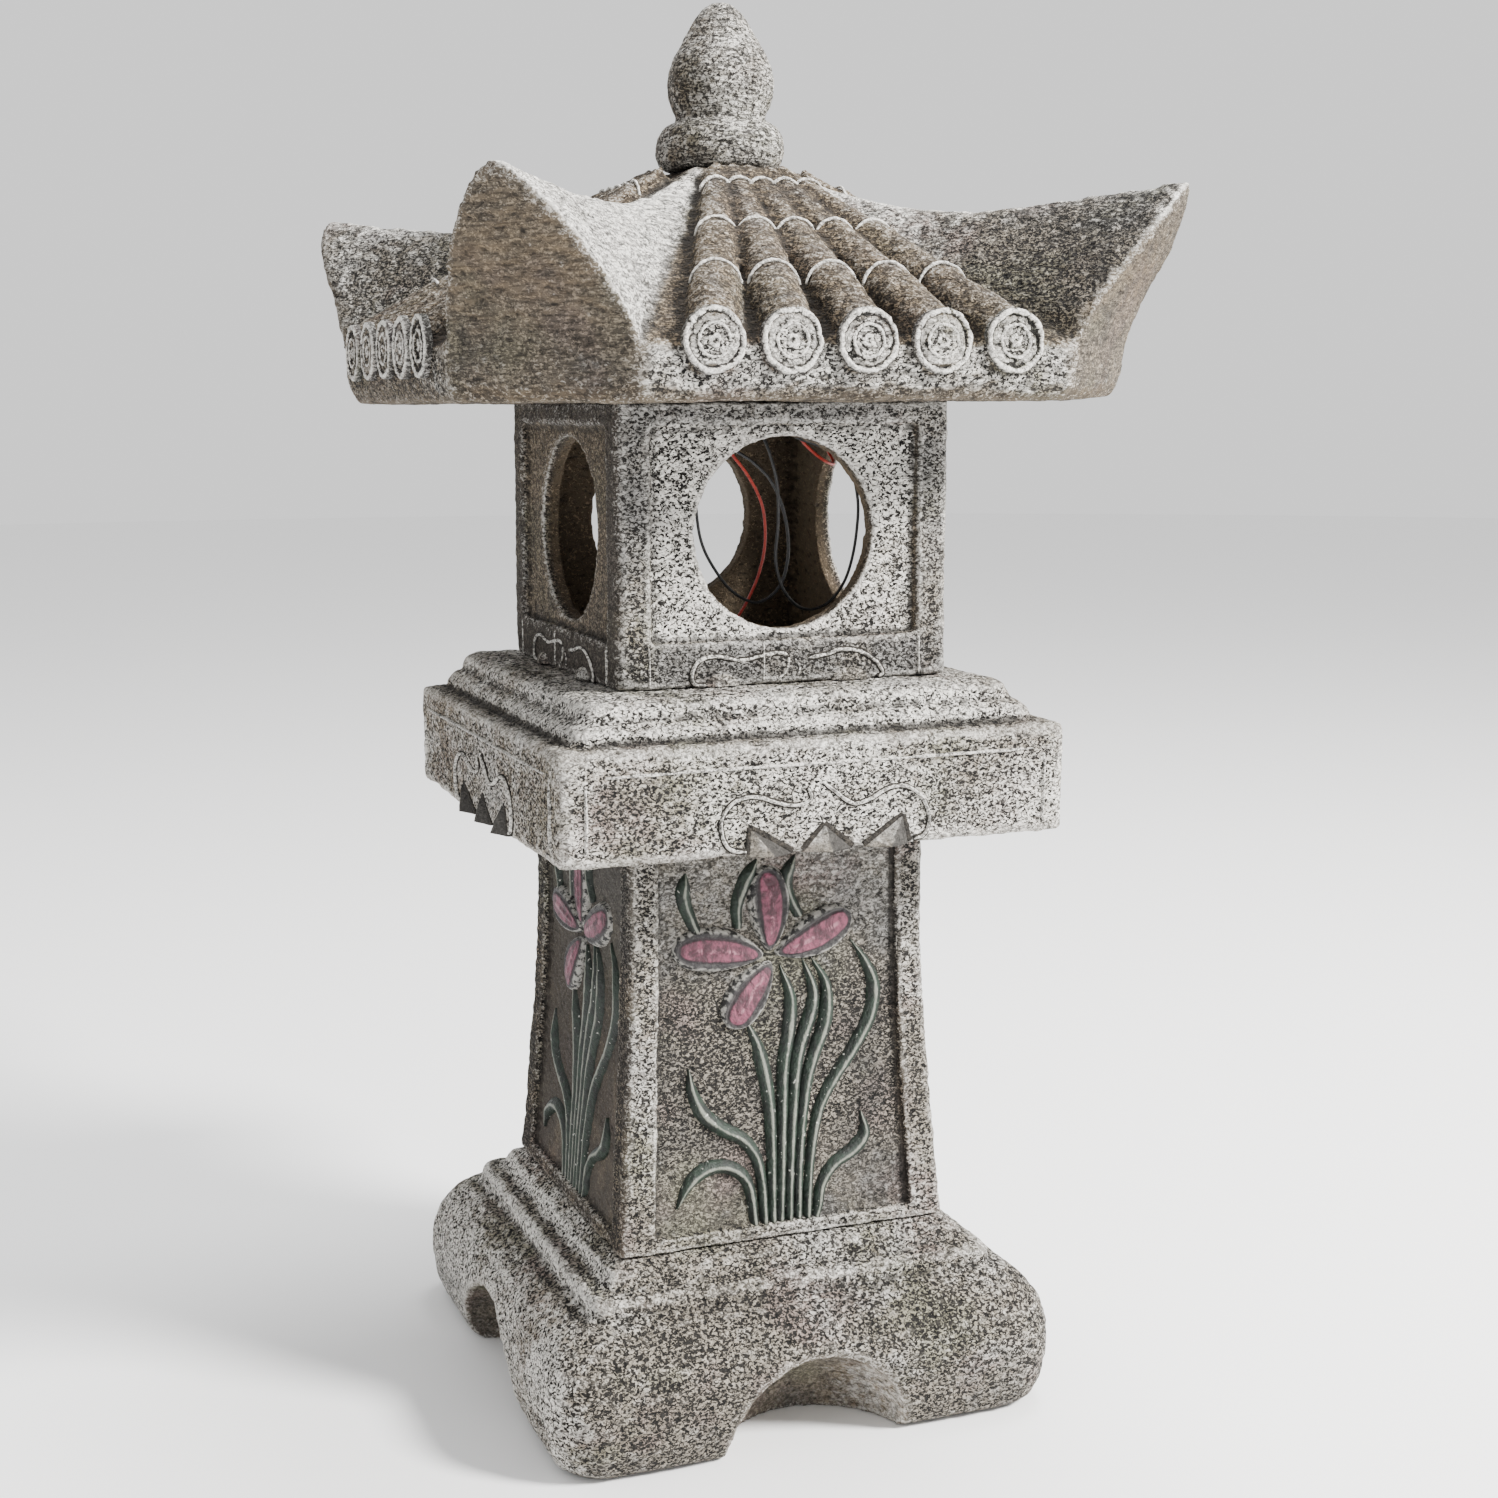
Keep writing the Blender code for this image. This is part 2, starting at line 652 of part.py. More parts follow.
def make_housing():
    """An open-topped tray under the roof's cavity ceiling, with a battery door in its floor."""
    dark = material("housing plastic", (0.045, 0.045, 0.05), 0.5)
    low = (-HOUSING_HALF_X, HOUSING_FRONT, HOUSING_LOW)
    high = (HOUSING_HALF_X, HOUSING_BACK, HOUSING_TOP)
    housing = place("light_housing", box(low, high), dark)
    inner_low = (low[0] + WALL, low[1] + WALL, low[2] + WALL)
    inner_high = (high[0] - WALL, high[1] - WALL, high[2] + 0.001)
    cut(housing, helper("housing inside", box(inner_low, inner_high)))
    door_low = (DOOR_X[0], DOOR_Y[0], HOUSING_LOW - 0.001)
    door_high = (DOOR_X[1], DOOR_Y[1], HOUSING_LOW + WALL + 0.001)
    cut(housing, helper("housing door opening", box(door_low, door_high)))
    x, y = SWITCH_AT
    wide, long = SWITCH_SLOT
    slot_low = (x - wide / 2, y - long / 2, HOUSING_LOW - 0.001)
    slot_high = (x + wide / 2, y + long / 2, HOUSING_LOW + WALL + 0.002)
    cut(housing, helper("housing switch slot", box(slot_low, slot_high)))
    for i, (x, y, ear_low) in enumerate(SCREWS[:2]):
        join(housing, helper(f"housing ear {i}", ear_solid(x, y, ear_low, HOUSING_FRONT + 0.001)))
        cut(housing, helper(f"housing ear hole {i}", screw_way(x, y)))
    for i, x in enumerate(LUGS_X):
        lug_low = (x - LUG_HALF_X, HINGE_Y - LUG_HALF_Y, HINGE_Z - HINGE_BARREL)
        lug_high = (x + LUG_HALF_X, HINGE_Y + LUG_HALF_Y, HOUSING_LOW + 0.0005)
        join(housing, helper(f"hinge lug {i}", box(lug_low, lug_high)))
    ends = ((DOOR_X[0] - 0.002, HINGE_Y, HINGE_Z), (DOOR_X[1] + 0.002, HINGE_Y, HINGE_Z))
    cut(housing, helper("hinge pin way", rod(HINGE_PIN + GAP, *ends, 8)))


def make_door():
    """The battery door hangs on a pin at its rear edge and opens downwards."""
    dark = material("battery door plastic", (0.05, 0.05, 0.055), 0.5)
    pivot = Vector((0.0, HINGE_Y, HINGE_Z))
    x0, x1 = DOOR_X[0] + DOOR_PLAY, DOOR_X[1] - DOOR_PLAY
    y0, y1 = DOOR_Y[0] + DOOR_PLAY, DOOR_Y[1] - DOOR_PLAY
    plate = box((x0, y0, HOUSING_LOW), (x1, y1, HOUSING_LOW + WALL - 0.0002))
    left, right = LUGS_X[0] + 0.002, LUGS_X[1] - 0.002
    barrel = rod(HINGE_BARREL, (left, HINGE_Y, HINGE_Z), (right, HINGE_Y, HINGE_Z), 12)
    root = (left, y1 - 0.0020, HINGE_Z - 0.0004)
    web = box(root, (right, HINGE_Y, HINGE_Z + 0.0004))
    riser = box(root, (right, y1 - 0.0006, HOUSING_LOW + 0.0006))
    shift = Matrix.Translation(-pivot)
    for bm in (plate, barrel, web, riser):
        bm.transform(shift)
    door = place("battery_door", plate, dark)
    for name, bm in (("door barrel", barrel), ("door web", web), ("door riser", riser)):
        part = helper(name, bm)
        part.location = pivot
        join(door, part)
    ends = ((left - 0.001, HINGE_Y, HINGE_Z), (right + 0.001, HINGE_Y, HINGE_Z))
    cut(door, helper("door pin hole", rod(HINGE_PIN + GAP, *ends, 8)))
    door.location = pivot
    steel = material("hinge pin steel", (0.55, 0.55, 0.56), 0.3, 1.0)
    ends = ((LUGS_X[0] - 0.002, HINGE_Y, HINGE_Z), (LUGS_X[1] + 0.002, HINGE_Y, HINGE_Z))
    place("door_hinge_pin", rod(HINGE_PIN, *ends, 8), steel)


def make_battery():
    x, y, z = BATTERY_AT
    half = BATTERY_LONG / 2
    sleeve = material("battery sleeve", (0.05, 0.22, 0.10), 0.35)
    can = rod(BATTERY_RADIUS, (x - half, y, z), (x + half - 0.001, y, z), 20)
    cell = place("battery", can, sleeve, smooth=True)
    nub = rod(NUB_RADIUS, (x + half - 0.002, y, z), (x + half, y, z), 12)
    join(cell, helper("battery nub", nub))
    plated = material("nickel plate", (0.62, 0.60, 0.56), 0.28, 1.0)
    wall = HOUSING_HALF_X - WALL
    plate_x = x + half + GAP
    reach = CONTACT_HALF
    plate = box((plate_x, y - reach, z - reach), (plate_x + 0.0006, y + reach, z + reach))
    place("battery_contact_plate", plate, plated)
    wire = SPRING_WIRE
    reach = wall - half + x - 2 * GAP
    points = 10 * SPRING_TURNS
    route = []
    for i in range(points + 1):
        share = i / points
        radius = SPRING_FOOT + (SPRING_TOP - SPRING_FOOT) * share
        angle = 2 * math.pi * SPRING_TURNS * share
        away = wire + (reach - 2 * wire) * share
        route.append((-wall + GAP + away, y + radius * math.cos(angle), z + radius * math.sin(angle)))
    coil = bpy.data.curves.new("battery_spring", "CURVE")
    coil.dimensions = "3D"
    coil.bevel_depth = wire
    coil.bevel_resolution = 1
    coil.use_fill_caps = True
    line = coil.splines.new("POLY")
    line.points.add(len(route) - 1)
    for spot, p in zip(line.points, route):
        spot.co = (*p, 1.0)
    coil.materials.append(plated)
    bpy.context.scene.collection.objects.link(bpy.data.objects.new("battery_spring", coil))


def make_circuit_board():
    """The charge controller stands on edge between the housing's front wall and the battery."""
    y = BOARD_Y
    board = box((BOARD_X[0], y, BOARD_Z[0]), (BOARD_X[1], y + BOARD_THICK, BOARD_Z[1]))
    board = place("circuit_board", board, material("circuit board", (0.03, 0.16, 0.07), 0.45))
    x, z, half_x, half_z = CHIP
    chip = box((x - half_x, y - PARTS_PROUD, z - half_z), (x + half_x, y + 0.0005, z + half_z))
    join(board, helper("chip", chip))
    x, z, radius = CHOKE
    choke = rod(radius, (x, y - PARTS_PROUD, z), (x, y + 0.0005, z), 12)
    join(board, helper("choke", choke))


def make_switch():
    """The on-off slider: a thumb pip below the floor on a wider foot inside the housing."""
    x, y = SWITCH_AT
    wide, long = SWITCH_SLOT
    y -= SWITCH_TRAVEL / 2
    grip = material("switch plastic", (0.6, 0.6, 0.58), 0.4)
    low = HOUSING_LOW + WALL + GAP
    half = SWITCH_FOOT_HALF
    foot = box((x - half, y - half, low), (x + half, y + half, low + 0.002))
    slider = place("switch_slider", foot, grip)
    half = wide / 2 - GAP
    pip_low = (x - half, y - PIP_HALF_Y, HOUSING_LOW - PIP_PROUD)
    pip = box(pip_low, (x + half, y + PIP_HALF_Y, low + 0.001))
    join(slider, helper("switch pip", pip))


def make_screws():
    steel = material("screw steel", (0.5, 0.5, 0.5), 0.35, 1.0)
    for name, (x, y, low) in zip(SCREW_NAMES, SCREWS):
        head_top = low - GAP
        profile = [
            (0.0, head_top - 0.0018),
            (0.0018, head_top - 0.0016),
            (SCREW_HEAD_RADIUS, head_top - 0.0008),
            (SCREW_HEAD_RADIUS, head_top),
            (SCREW_RADIUS, head_top),
            (SCREW_RADIUS, CAVITY_TOP + 0.0100),
            (0.0, CAVITY_TOP + SCREW_LONG),
        ]
        place(name, turned(profile, (x, y), 12), steel, smooth=True)


# ---- lamp ----
def make_lamp():
    """A round LED holder screwed to the cavity's ceiling, with a domed diffuser below it."""
    x, y = LED_AT
    white = material("lamp holder plastic", (0.75, 0.74, 0.70), 0.5)
    body = rod(LED_HOLDER_RADIUS, (x, y, LED_HOLDER_LOW), (x, y, HOUSING_TOP), 28)
    holder = place("led_holder", body, white, smooth=True)
    ear_x, ear_y, ear_low = SCREWS[2]
    join(holder, helper("lamp ear", ear_solid(ear_x, ear_y, ear_low, y + LED_HOLDER_RADIUS - 0.004)))
    cut(holder, helper("lamp ear hole", screw_way(ear_x, ear_y)))
    well = rod(LED_RADIUS + GAP, (x, y, LED_HOLDER_LOW - 0.001), (x, y, LED_TOP + 0.0005), 16)
    cut(holder, helper("led well", well))
    tip = LED_TIP
    lens = [(0.0, tip), (0.0012, tip + 0.0003), (0.0021, tip + 0.0012), (LED_RADIUS, tip + 0.0025)]
    lens += [(LED_RADIUS, LED_TOP), (0.0, LED_TOP)]
    place("led", turned(lens, LED_AT, 14), material("led epoxy", (0.95, 0.88, 0.62), 0.2), smooth=True)
    top = LED_HOLDER_LOW - GAP
    outer, inner = DIFFUSER_RADIUS, DIFFUSER_RADIUS - DIFFUSER_WALL
    angles = [math.radians(a) for a in (90, 72, 54, 36, 18, 0)]
    dome = [(outer * math.cos(a), top - outer * math.sin(a)) for a in angles]
    inside = [(inner * math.cos(a), top - inner * math.sin(a)) for a in reversed(angles)]
    dome[0], inside[-1] = (0.0, top - outer), (0.0, top - inner)
    frosted = material("diffuser", (0.85, 0.84, 0.80), 0.4)
    place("lamp_diffuser", turned(dome + inside, LED_AT, 20), frosted, smooth=True)


# ---- leads ----
def make_glands():
    rubber = material("gland rubber", (0.03, 0.03, 0.03), 0.7)
    for name, x in (("lamp_gland", GLAND_LAMP_X), ("charge_gland", GLAND_CHARGE_X)):
        end = HOUSING_FRONT - GAP
        start = end - GLAND_LONG
        place(name, rod(GLAND_RADIUS, (x, start, GLAND_Z), (x, end, GLAND_Z), 14), rubber, smooth=True)
    x, y = GROMMET_AT
    top = CAVITY_TOP - GAP
    grommet = rod(GLAND_RADIUS, (x, y, top - GROMMET_LONG), (x, y, top), 14)
    place("panel_grommet", grommet, rubber, smooth=True)


GLAND_FACE = HOUSING_FRONT - GAP - GLAND_LONG - GAP
GROMMET_FACE = CAVITY_TOP - GAP - GROMMET_LONG - GAP
LAMP_SIDE = LED_AT[0] + LED_HOLDER_RADIUS + 0.0005

LAMP_BLACK = [
    (-0.0100, GLAND_FACE, GLAND_Z),
    (-0.0100, 0.0060, 0.3813),
    (-0.0098, 0.0012, 0.3785),
    (-0.0088, -0.0045, 0.3700),
    (-0.0060, -0.0105, 0.3570),
    (-0.0015, -0.0140, 0.3455),
    (0.0060, -0.0150, 0.3400),
    (0.0128, -0.0150, 0.3337),
    (0.0175, -0.0150, 0.3248),
    (0.0200, -0.0150, 0.3145),
    (0.0201, -0.0150, 0.3040),
    (0.0165, -0.0150, 0.2940),
    (0.0081, -0.0150, 0.2892),
    (-0.0015, -0.0150, 0.2935),
    (-0.0092, -0.0150, 0.3030),
    (-0.0137, -0.0150, 0.3125),
    (-0.0155, -0.0150, 0.3250),
    (-0.0158, -0.0155, 0.3400),
    (-0.0145, -0.0165, 0.3560),
    (-0.0110, -0.0185, 0.3720),
    (-0.0072, -0.0215, 0.3850),
    (-0.0072, -0.0245, 0.3925),
    (LAMP_SIDE, -0.0250, 0.3945),
]
LAMP_RED = [
    (-0.0060, GLAND_FACE, GLAND_Z),
    (-0.0060, 0.0060, 0.3812),
    (-0.0058, 0.0020, 0.3780),
    (-0.0050, -0.0010, 0.3690),
    (-0.0035, -0.0030, 0.3570),
    (-0.0008, -0.0045, 0.3480),
    (0.0030, -0.0050, 0.3415),
    (0.0072, -0.0050, 0.3365),
    (0.0114, -0.0050, 0.3300),
    (0.0144, -0.0050, 0.3230),
    (0.0155, -0.0050, 0.3145),
    (0.0150, -0.0050, 0.3065),
    (0.0129, -0.0050, 0.2985),
    (0.0098, -0.0050, 0.2915),
    (0.0060, -0.0050, 0.2850),
    (0.0005, -0.0052, 0.2785),
    (-0.0070, -0.0058, 0.2752),
    (-0.0160, -0.0066, 0.2772),
    (-0.0235, -0.0075, 0.2855),
    (-0.0280, -0.0085, 0.2990),
    (-0.0292, -0.0095, 0.3160),
    (-0.0275, -0.0110, 0.3340),
    (-0.0225, -0.0130, 0.3520),
    (-0.0145, -0.0150, 0.3690),
    (-0.0080, -0.0170, 0.3810),
    (-0.0070, -0.0190, 0.3878),
    (LAMP_SIDE, -0.0200, 0.3900),
]
PANEL_BLACK = [
    (0.0080, -0.0060, GROMMET_FACE),
    (0.0079, -0.0065, 0.3955),
    (0.0072, -0.0105, 0.3840),
    (0.0058, -0.0185, 0.3670),
    (0.0052, -0.0250, 0.3520),
    (0.0075, -0.0275, 0.3435),
    (0.0103, -0.0280, 0.3325),
    (0.0108, -0.0280, 0.3190),
    (0.0098, -0.0280, 0.3060),
    (0.0122, -0.0280, 0.2960),
    (0.0172, -0.0280, 0.2895),
    (0.0232, -0.0280, 0.2872),
    (0.0306, -0.0280, 0.2895),
    (0.0366, -0.0280, 0.2965),
    (0.0400, -0.0280, 0.3060),
    (0.0417, -0.0280, 0.3170),
    (0.0418, -0.0280, 0.3260),
    (0.0396, -0.0278, 0.3355),
    (0.0350, -0.0272, 0.3415),
    (0.0270, -0.0260, 0.3455),
    (0.0195, -0.0235, 0.3485),
    (0.0145, -0.0190, 0.3540),
    (0.0122, -0.0120, 0.3640),
    (0.0118, -0.0040, 0.3745),
    (0.0120, 0.0030, 0.3805),
    (0.0120, GLAND_FACE, GLAND_Z),
]
PANEL_RED = [
    (0.0120, -0.0060, GROMMET_FACE),
    (0.0121, -0.0063, 0.3958),
    (0.0128, -0.0085, 0.3880),
    (0.0145, -0.0125, 0.3760),
    (0.0170, -0.0165, 0.3620),
    (0.0205, -0.0190, 0.3515),
    (0.0255, -0.0200, 0.3450),
    (0.0315, -0.0195, 0.3405),
    (0.0370, -0.0165, 0.3385),
    (0.0400, -0.0105, 0.3395),
    (0.0402, -0.0040, 0.3440),
    (0.0380, 0.0010, 0.3520),
    (0.0330, 0.0035, 0.3620),
    (0.0265, 0.0040, 0.3715),
    (0.0205, 0.0035, 0.3780),
    (0.0170, 0.0050, 0.3808),
    (0.0160, GLAND_FACE, GLAND_Z),
]


def make_leads():
    black = material("black lead", (0.015, 0.015, 0.015), 0.4)
    red = material("red lead", (0.55, 0.03, 0.03), 0.4)
    cord("lamp_lead_black", LAMP_BLACK, LEAD_RADIUS, LEAD_STEP, black)
    cord("lamp_lead_red", LAMP_RED, LEAD_RADIUS, LEAD_STEP, red)
    cord("panel_lead_black", PANEL_BLACK, LEAD_RADIUS, LEAD_STEP, black)
    cord("panel_lead_red", PANEL_RED, LEAD_RADIUS, LEAD_STEP, red)


def main():
    clear_scene()
    make_base()
    make_post()
    make_slab()
    make_light_box()
    make_roof()
    make_finial()
    make_solar_panel()
    make_housing()
    make_door()
    make_battery()
    make_circuit_board()
    make_switch()
    make_screws()
    make_lamp()
    make_glands()
    make_leads()


main()
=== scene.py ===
"""The looks of the stone lantern: weathered cast stone, painted flower reliefs and a solar lamp kit.

Every length is in metres, in the CAD model's frame: +Z up, the front faces -Y. Each casting is
built as a clean solid, remeshed, and then worn: chipped, pitted and softened like cast stone.
"""

import math

import bmesh
import bpy
import numpy as np
from mathutils import Matrix, Vector, noise


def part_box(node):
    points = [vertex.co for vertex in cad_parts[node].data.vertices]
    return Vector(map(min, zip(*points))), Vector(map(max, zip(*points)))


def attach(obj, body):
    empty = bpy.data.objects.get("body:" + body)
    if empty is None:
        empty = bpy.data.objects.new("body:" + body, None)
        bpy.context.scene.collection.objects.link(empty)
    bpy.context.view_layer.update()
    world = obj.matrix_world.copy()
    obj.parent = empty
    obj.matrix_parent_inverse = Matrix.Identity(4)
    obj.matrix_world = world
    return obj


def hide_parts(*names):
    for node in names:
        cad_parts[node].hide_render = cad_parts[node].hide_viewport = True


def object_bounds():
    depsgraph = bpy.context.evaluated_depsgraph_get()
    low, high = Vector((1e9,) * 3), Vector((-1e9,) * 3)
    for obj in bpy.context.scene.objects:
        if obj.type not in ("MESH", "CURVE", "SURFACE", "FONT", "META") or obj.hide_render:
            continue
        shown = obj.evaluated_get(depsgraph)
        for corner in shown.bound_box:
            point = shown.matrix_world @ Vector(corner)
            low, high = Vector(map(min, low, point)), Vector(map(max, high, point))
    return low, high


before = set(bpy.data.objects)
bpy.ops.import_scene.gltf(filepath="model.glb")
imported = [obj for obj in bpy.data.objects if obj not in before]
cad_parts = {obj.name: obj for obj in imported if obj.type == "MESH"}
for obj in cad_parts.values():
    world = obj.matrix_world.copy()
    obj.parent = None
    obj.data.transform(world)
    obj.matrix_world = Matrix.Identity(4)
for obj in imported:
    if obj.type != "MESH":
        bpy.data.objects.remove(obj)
CAD_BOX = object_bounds()

QUARTERS = [math.radians(90 * i) for i in range(4)]


def tenths(given):
    """Tenths of a millimetre, in lists or tuples, turned into metres."""
    if isinstance(given, (list, tuple)):
        return type(given)(tenths(value) for value in given)
    return given / 10000


# ---- camera, light and floor ----
CAMERA_AT = Vector((-0.2850, -0.7194, 0.3620))
CAMERA_AIM = Vector((0.33173, 0.92906, -0.16371))
CAMERA_UP = Vector((0.06158, 0.15185, 0.98648))
LENS_MM = 50.6
SHIFT_X = 0.0661


def make_camera():
    data = bpy.data.cameras.new("camera")
    data.sensor_width = 36.0
    data.lens = LENS_MM
    data.shift_x = SHIFT_X
    data.clip_start = 0.01
    camera = bpy.data.objects.new("camera", data)
    bpy.context.scene.collection.objects.link(camera)
    back = -CAMERA_AIM.normalized()
    right = CAMERA_UP.cross(back).normalized()
    up = back.cross(right)
    camera.matrix_world = Matrix.Translation(CAMERA_AT) @ Matrix((right, up, back)).transposed().to_4x4()
    bpy.context.scene.camera = camera


def make_area_light(name, place, target, size, power, colour):
    data = bpy.data.lights.new(name, "AREA")
    data.shape = "DISK"
    data.size = size
    data.energy = power
    data.color = colour
    light = bpy.data.objects.new(name, data)
    light.location = place
    light.rotation_euler = (Vector(target) - Vector(place)).to_track_quat("-Z", "Y").to_euler()
    bpy.context.scene.collection.objects.link(light)


WORLD_STRENGTH = 1.12
KEY_WATTS = 112.0
TOP_WATTS = 26.0
FLOOR_RADIUS = 6.0
FLOOR_BELOW = 0.0002  # so that the floor and the underside don't share a plane


def make_stage():
    world = bpy.data.worlds.new("studio")
    world.use_nodes = True
    world.node_tree.nodes["Background"].inputs["Color"].default_value = (1.0, 1.0, 1.0, 1.0)
    world.node_tree.nodes["Background"].inputs["Strength"].default_value = WORLD_STRENGTH
    bpy.context.scene.world = world
    middle = (0.0, 0.0, 0.28)
    make_area_light("key", (1.05, -1.00, 1.20), middle, 0.4, KEY_WATTS, (1.0, 0.985, 0.96))
    make_area_light("top", (0.30, 0.15, 1.70), middle, 0.6, TOP_WATTS, (0.98, 0.99, 1.0))
    bm = bmesh.new()
    bmesh.ops.create_circle(bm, cap_ends=True, segments=96, radius=FLOOR_RADIUS)
    bm.transform(Matrix.Translation((0, 0, -FLOOR_BELOW)))
    floor = place("floor", bm, floor_material())


# ---- leads ----
# The leads' routes lie where part.py has them. They start and end on these, in tenths of a millimetre.
GLAND_FACE = 94
GLAND_Z = 3815
GROMMET_FACE = 3996
LAMP_SIDE = -105
LEAD_DIAMETER = 0.0011
LEAD_STEP = 0.0012

LAMP_BLACK = tenths([
    (-100, GLAND_FACE, GLAND_Z), (-100, 60, 3813), (-98, 12, 3785), (-88, -45, 3700), (-60, -105, 3570),
    (-15, -140, 3455), (60, -150, 3400), (128, -150, 3337), (175, -150, 3248), (200, -150, 3145),
    (201, -150, 3040), (165, -150, 2940), (81, -150, 2892), (-15, -150, 2935), (-92, -150, 3030),
    (-137, -150, 3125), (-155, -150, 3250), (-158, -155, 3400), (-145, -165, 3560), (-110, -185, 3720),
    (-72, -215, 3850), (-72, -245, 3925), (LAMP_SIDE, -250, 3945),
])
LAMP_RED = tenths([
    (-60, GLAND_FACE, GLAND_Z), (-60, 60, 3812), (-58, 20, 3780), (-50, -10, 3690), (-35, -30, 3570),
    (-8, -45, 3480), (30, -50, 3415), (72, -50, 3365), (114, -50, 3300), (144, -50, 3230), (155, -50, 3145),
    (150, -50, 3065), (129, -50, 2985), (98, -50, 2915), (60, -50, 2850), (5, -52, 2785), (-70, -58, 2752),
    (-160, -66, 2772), (-235, -75, 2855), (-280, -85, 2990), (-292, -95, 3160), (-275, -110, 3340),
    (-225, -130, 3520), (-145, -150, 3690), (-80, -170, 3810), (-70, -190, 3878), (LAMP_SIDE, -200, 3900),
])
PANEL_BLACK = tenths([
    (80, -60, GROMMET_FACE), (79, -65, 3955), (72, -105, 3840), (58, -185, 3670), (52, -250, 3520),
    (75, -275, 3435), (103, -280, 3325), (108, -280, 3190), (98, -280, 3060), (122, -280, 2960),
    (172, -280, 2895), (232, -280, 2872), (306, -280, 2895), (366, -280, 2965), (400, -280, 3060),
    (417, -280, 3170), (418, -280, 3260), (396, -278, 3355), (350, -272, 3415), (270, -260, 3455),
    (195, -235, 3485), (145, -190, 3540), (122, -120, 3640), (118, -40, 3745), (120, 30, 3805),
    (120, GLAND_FACE, GLAND_Z),
])
PANEL_RED = tenths([
    (120, -60, GROMMET_FACE), (121, -63, 3958), (128, -85, 3880), (145, -125, 3760), (170, -165, 3620),
    (205, -190, 3515), (255, -200, 3450), (315, -195, 3405), (370, -165, 3385), (400, -105, 3395),
    (402, -40, 3440), (380, 10, 3520), (330, 35, 3620), (265, 40, 3715), (205, 35, 3780), (170, 50, 3808),
    (160, GLAND_FACE, GLAND_Z),
])


def between(a, b, c, d, t):
    """A point from b, t = 0, to c on the smooth curve through a, b, c and d."""
    bend = (2 * a - 5 * b + 4 * c - d) * t * t + (3 * b - a - 3 * c + d) * t**3
    return 0.5 * (2 * b + (c - a) * t + bend)


def with_ends(route):
    """A route as vectors, with one more point beyond each end."""
    route = [Vector(p) for p in route]
    return [2 * route[0] - route[1]] + route + [2 * route[-1] - route[-2]]


def smooth_route(route, step):
    """Points about a step apart along the smooth curve through a route's own points."""
    ends = with_ends(route)
    fine = []
    for a, b, c, d in zip(ends, ends[1:], ends[2:], ends[3:]):
        count = max(1, round((c - b).length / step))
        fine += [between(a, b, c, d, i / count) for i in range(count)]
    return fine + [ends[-2]]


def make_lead(node, route, mat):
    points = smooth_route(route, LEAD_STEP)
    curve = bpy.data.curves.new(node + "_wire", "CURVE")
    curve.dimensions = "3D"
    curve.bevel_depth = LEAD_DIAMETER / 2
    curve.bevel_resolution = 3
    curve.use_fill_caps = True
    line = curve.splines.new("POLY")
    line.points.add(len(points) - 1)
    for spot, p in zip(line.points, points):
        spot.co = (*p, 1.0)
        spot.radius = 1.0
    curve.materials.append(mat)
    lead = bpy.data.objects.new(node + "_wire", curve)
    bpy.context.scene.collection.objects.link(lead)
    stand_for(lead, "roof", node)


def make_leads():
    black = wire_material("black wire insulation", (0.012, 0.012, 0.013), (0.035, 0.034, 0.033))
    red = wire_material("red wire insulation", (0.50, 0.035, 0.020), (0.30, 0.020, 0.014))
    make_lead("lamp_lead_black", LAMP_BLACK, black)
    make_lead("lamp_lead_red", LAMP_RED, red)
    make_lead("panel_lead_black", PANEL_BLACK, black)
    make_lead("panel_lead_red", PANEL_RED, red)


# ---- meshes ----
def place(name, bm, mat, smooth=False):
    bmesh.ops.recalc_face_normals(bm, faces=bm.faces)
    mesh = bpy.data.meshes.new(name)
    bm.to_mesh(mesh)
    bm.free()
    thing = bpy.data.objects.new(name, mesh)
    bpy.context.scene.collection.objects.link(thing)
    if mat:
        mesh.materials.append(mat)
    if smooth:
        mesh.shade_smooth()
    return thing


def square_ring(half, z, corner=0.0, steps=2):
    """A square outline with rounded corners, counter-clockwise, at height z."""
    points = []
    for turn in range(4):
        centre = Vector((half - corner, half - corner, 0))
        for i in range(steps + 1):
            angle = math.radians(90 * i / steps)
            p = centre + corner * Vector((math.cos(angle), math.sin(angle), 0))
            p = Matrix.Rotation(math.radians(90 * turn), 3, "Z") @ p
            points.append(Vector((p.x, p.y, z)))
    return points


def circle_ring(radius, z, steps, centre=(0.0, 0.0)):
    turn = [2 * math.pi * i / steps for i in range(steps)]
    return [Vector((centre[0] + radius * math.cos(a), centre[1] + radius * math.sin(a), z)) for a in turn]


def join_rows(bm, rows, capped=True):
    """Quads between each closed row of points and the next, and a face over each end."""
    for low, high in zip(rows, rows[1:]):
        for i in range(len(low)):
            j = (i + 1) % len(low)
            bm.faces.new((low[i], low[j], high[j], high[i]))
    if capped:
        bm.faces.new(rows[0])
        bm.faces.new(rows[-1])


def loft(rings, closed=False):
    """A solid through a list of rings; a closed one joins its last ring to its first."""
    bm = bmesh.new()
    rows = [[bm.verts.new(p) for p in ring] for ring in rings]
    join_rows(bm, rows + rows[:1] if closed else rows, capped=not closed)
    return bm


def pour(bm, part):
    """Adds a part's points and faces to a mesh in the making, and frees the part."""
    mesh = bpy.data.meshes.new("part")
    part.to_mesh(mesh)
    part.free()
    bm.from_mesh(mesh)
    bpy.data.meshes.remove(mesh)


def box(low, high):
    bm = bmesh.new()
    size = [h - l for l, h in zip(low, high)]
    middle = [(h + l) / 2 for l, h in zip(low, high)]
    bmesh.ops.create_cube(bm, size=1.0, matrix=Matrix.Translation(middle) @ Matrix.Diagonal((*size, 1.0)))
    return bm


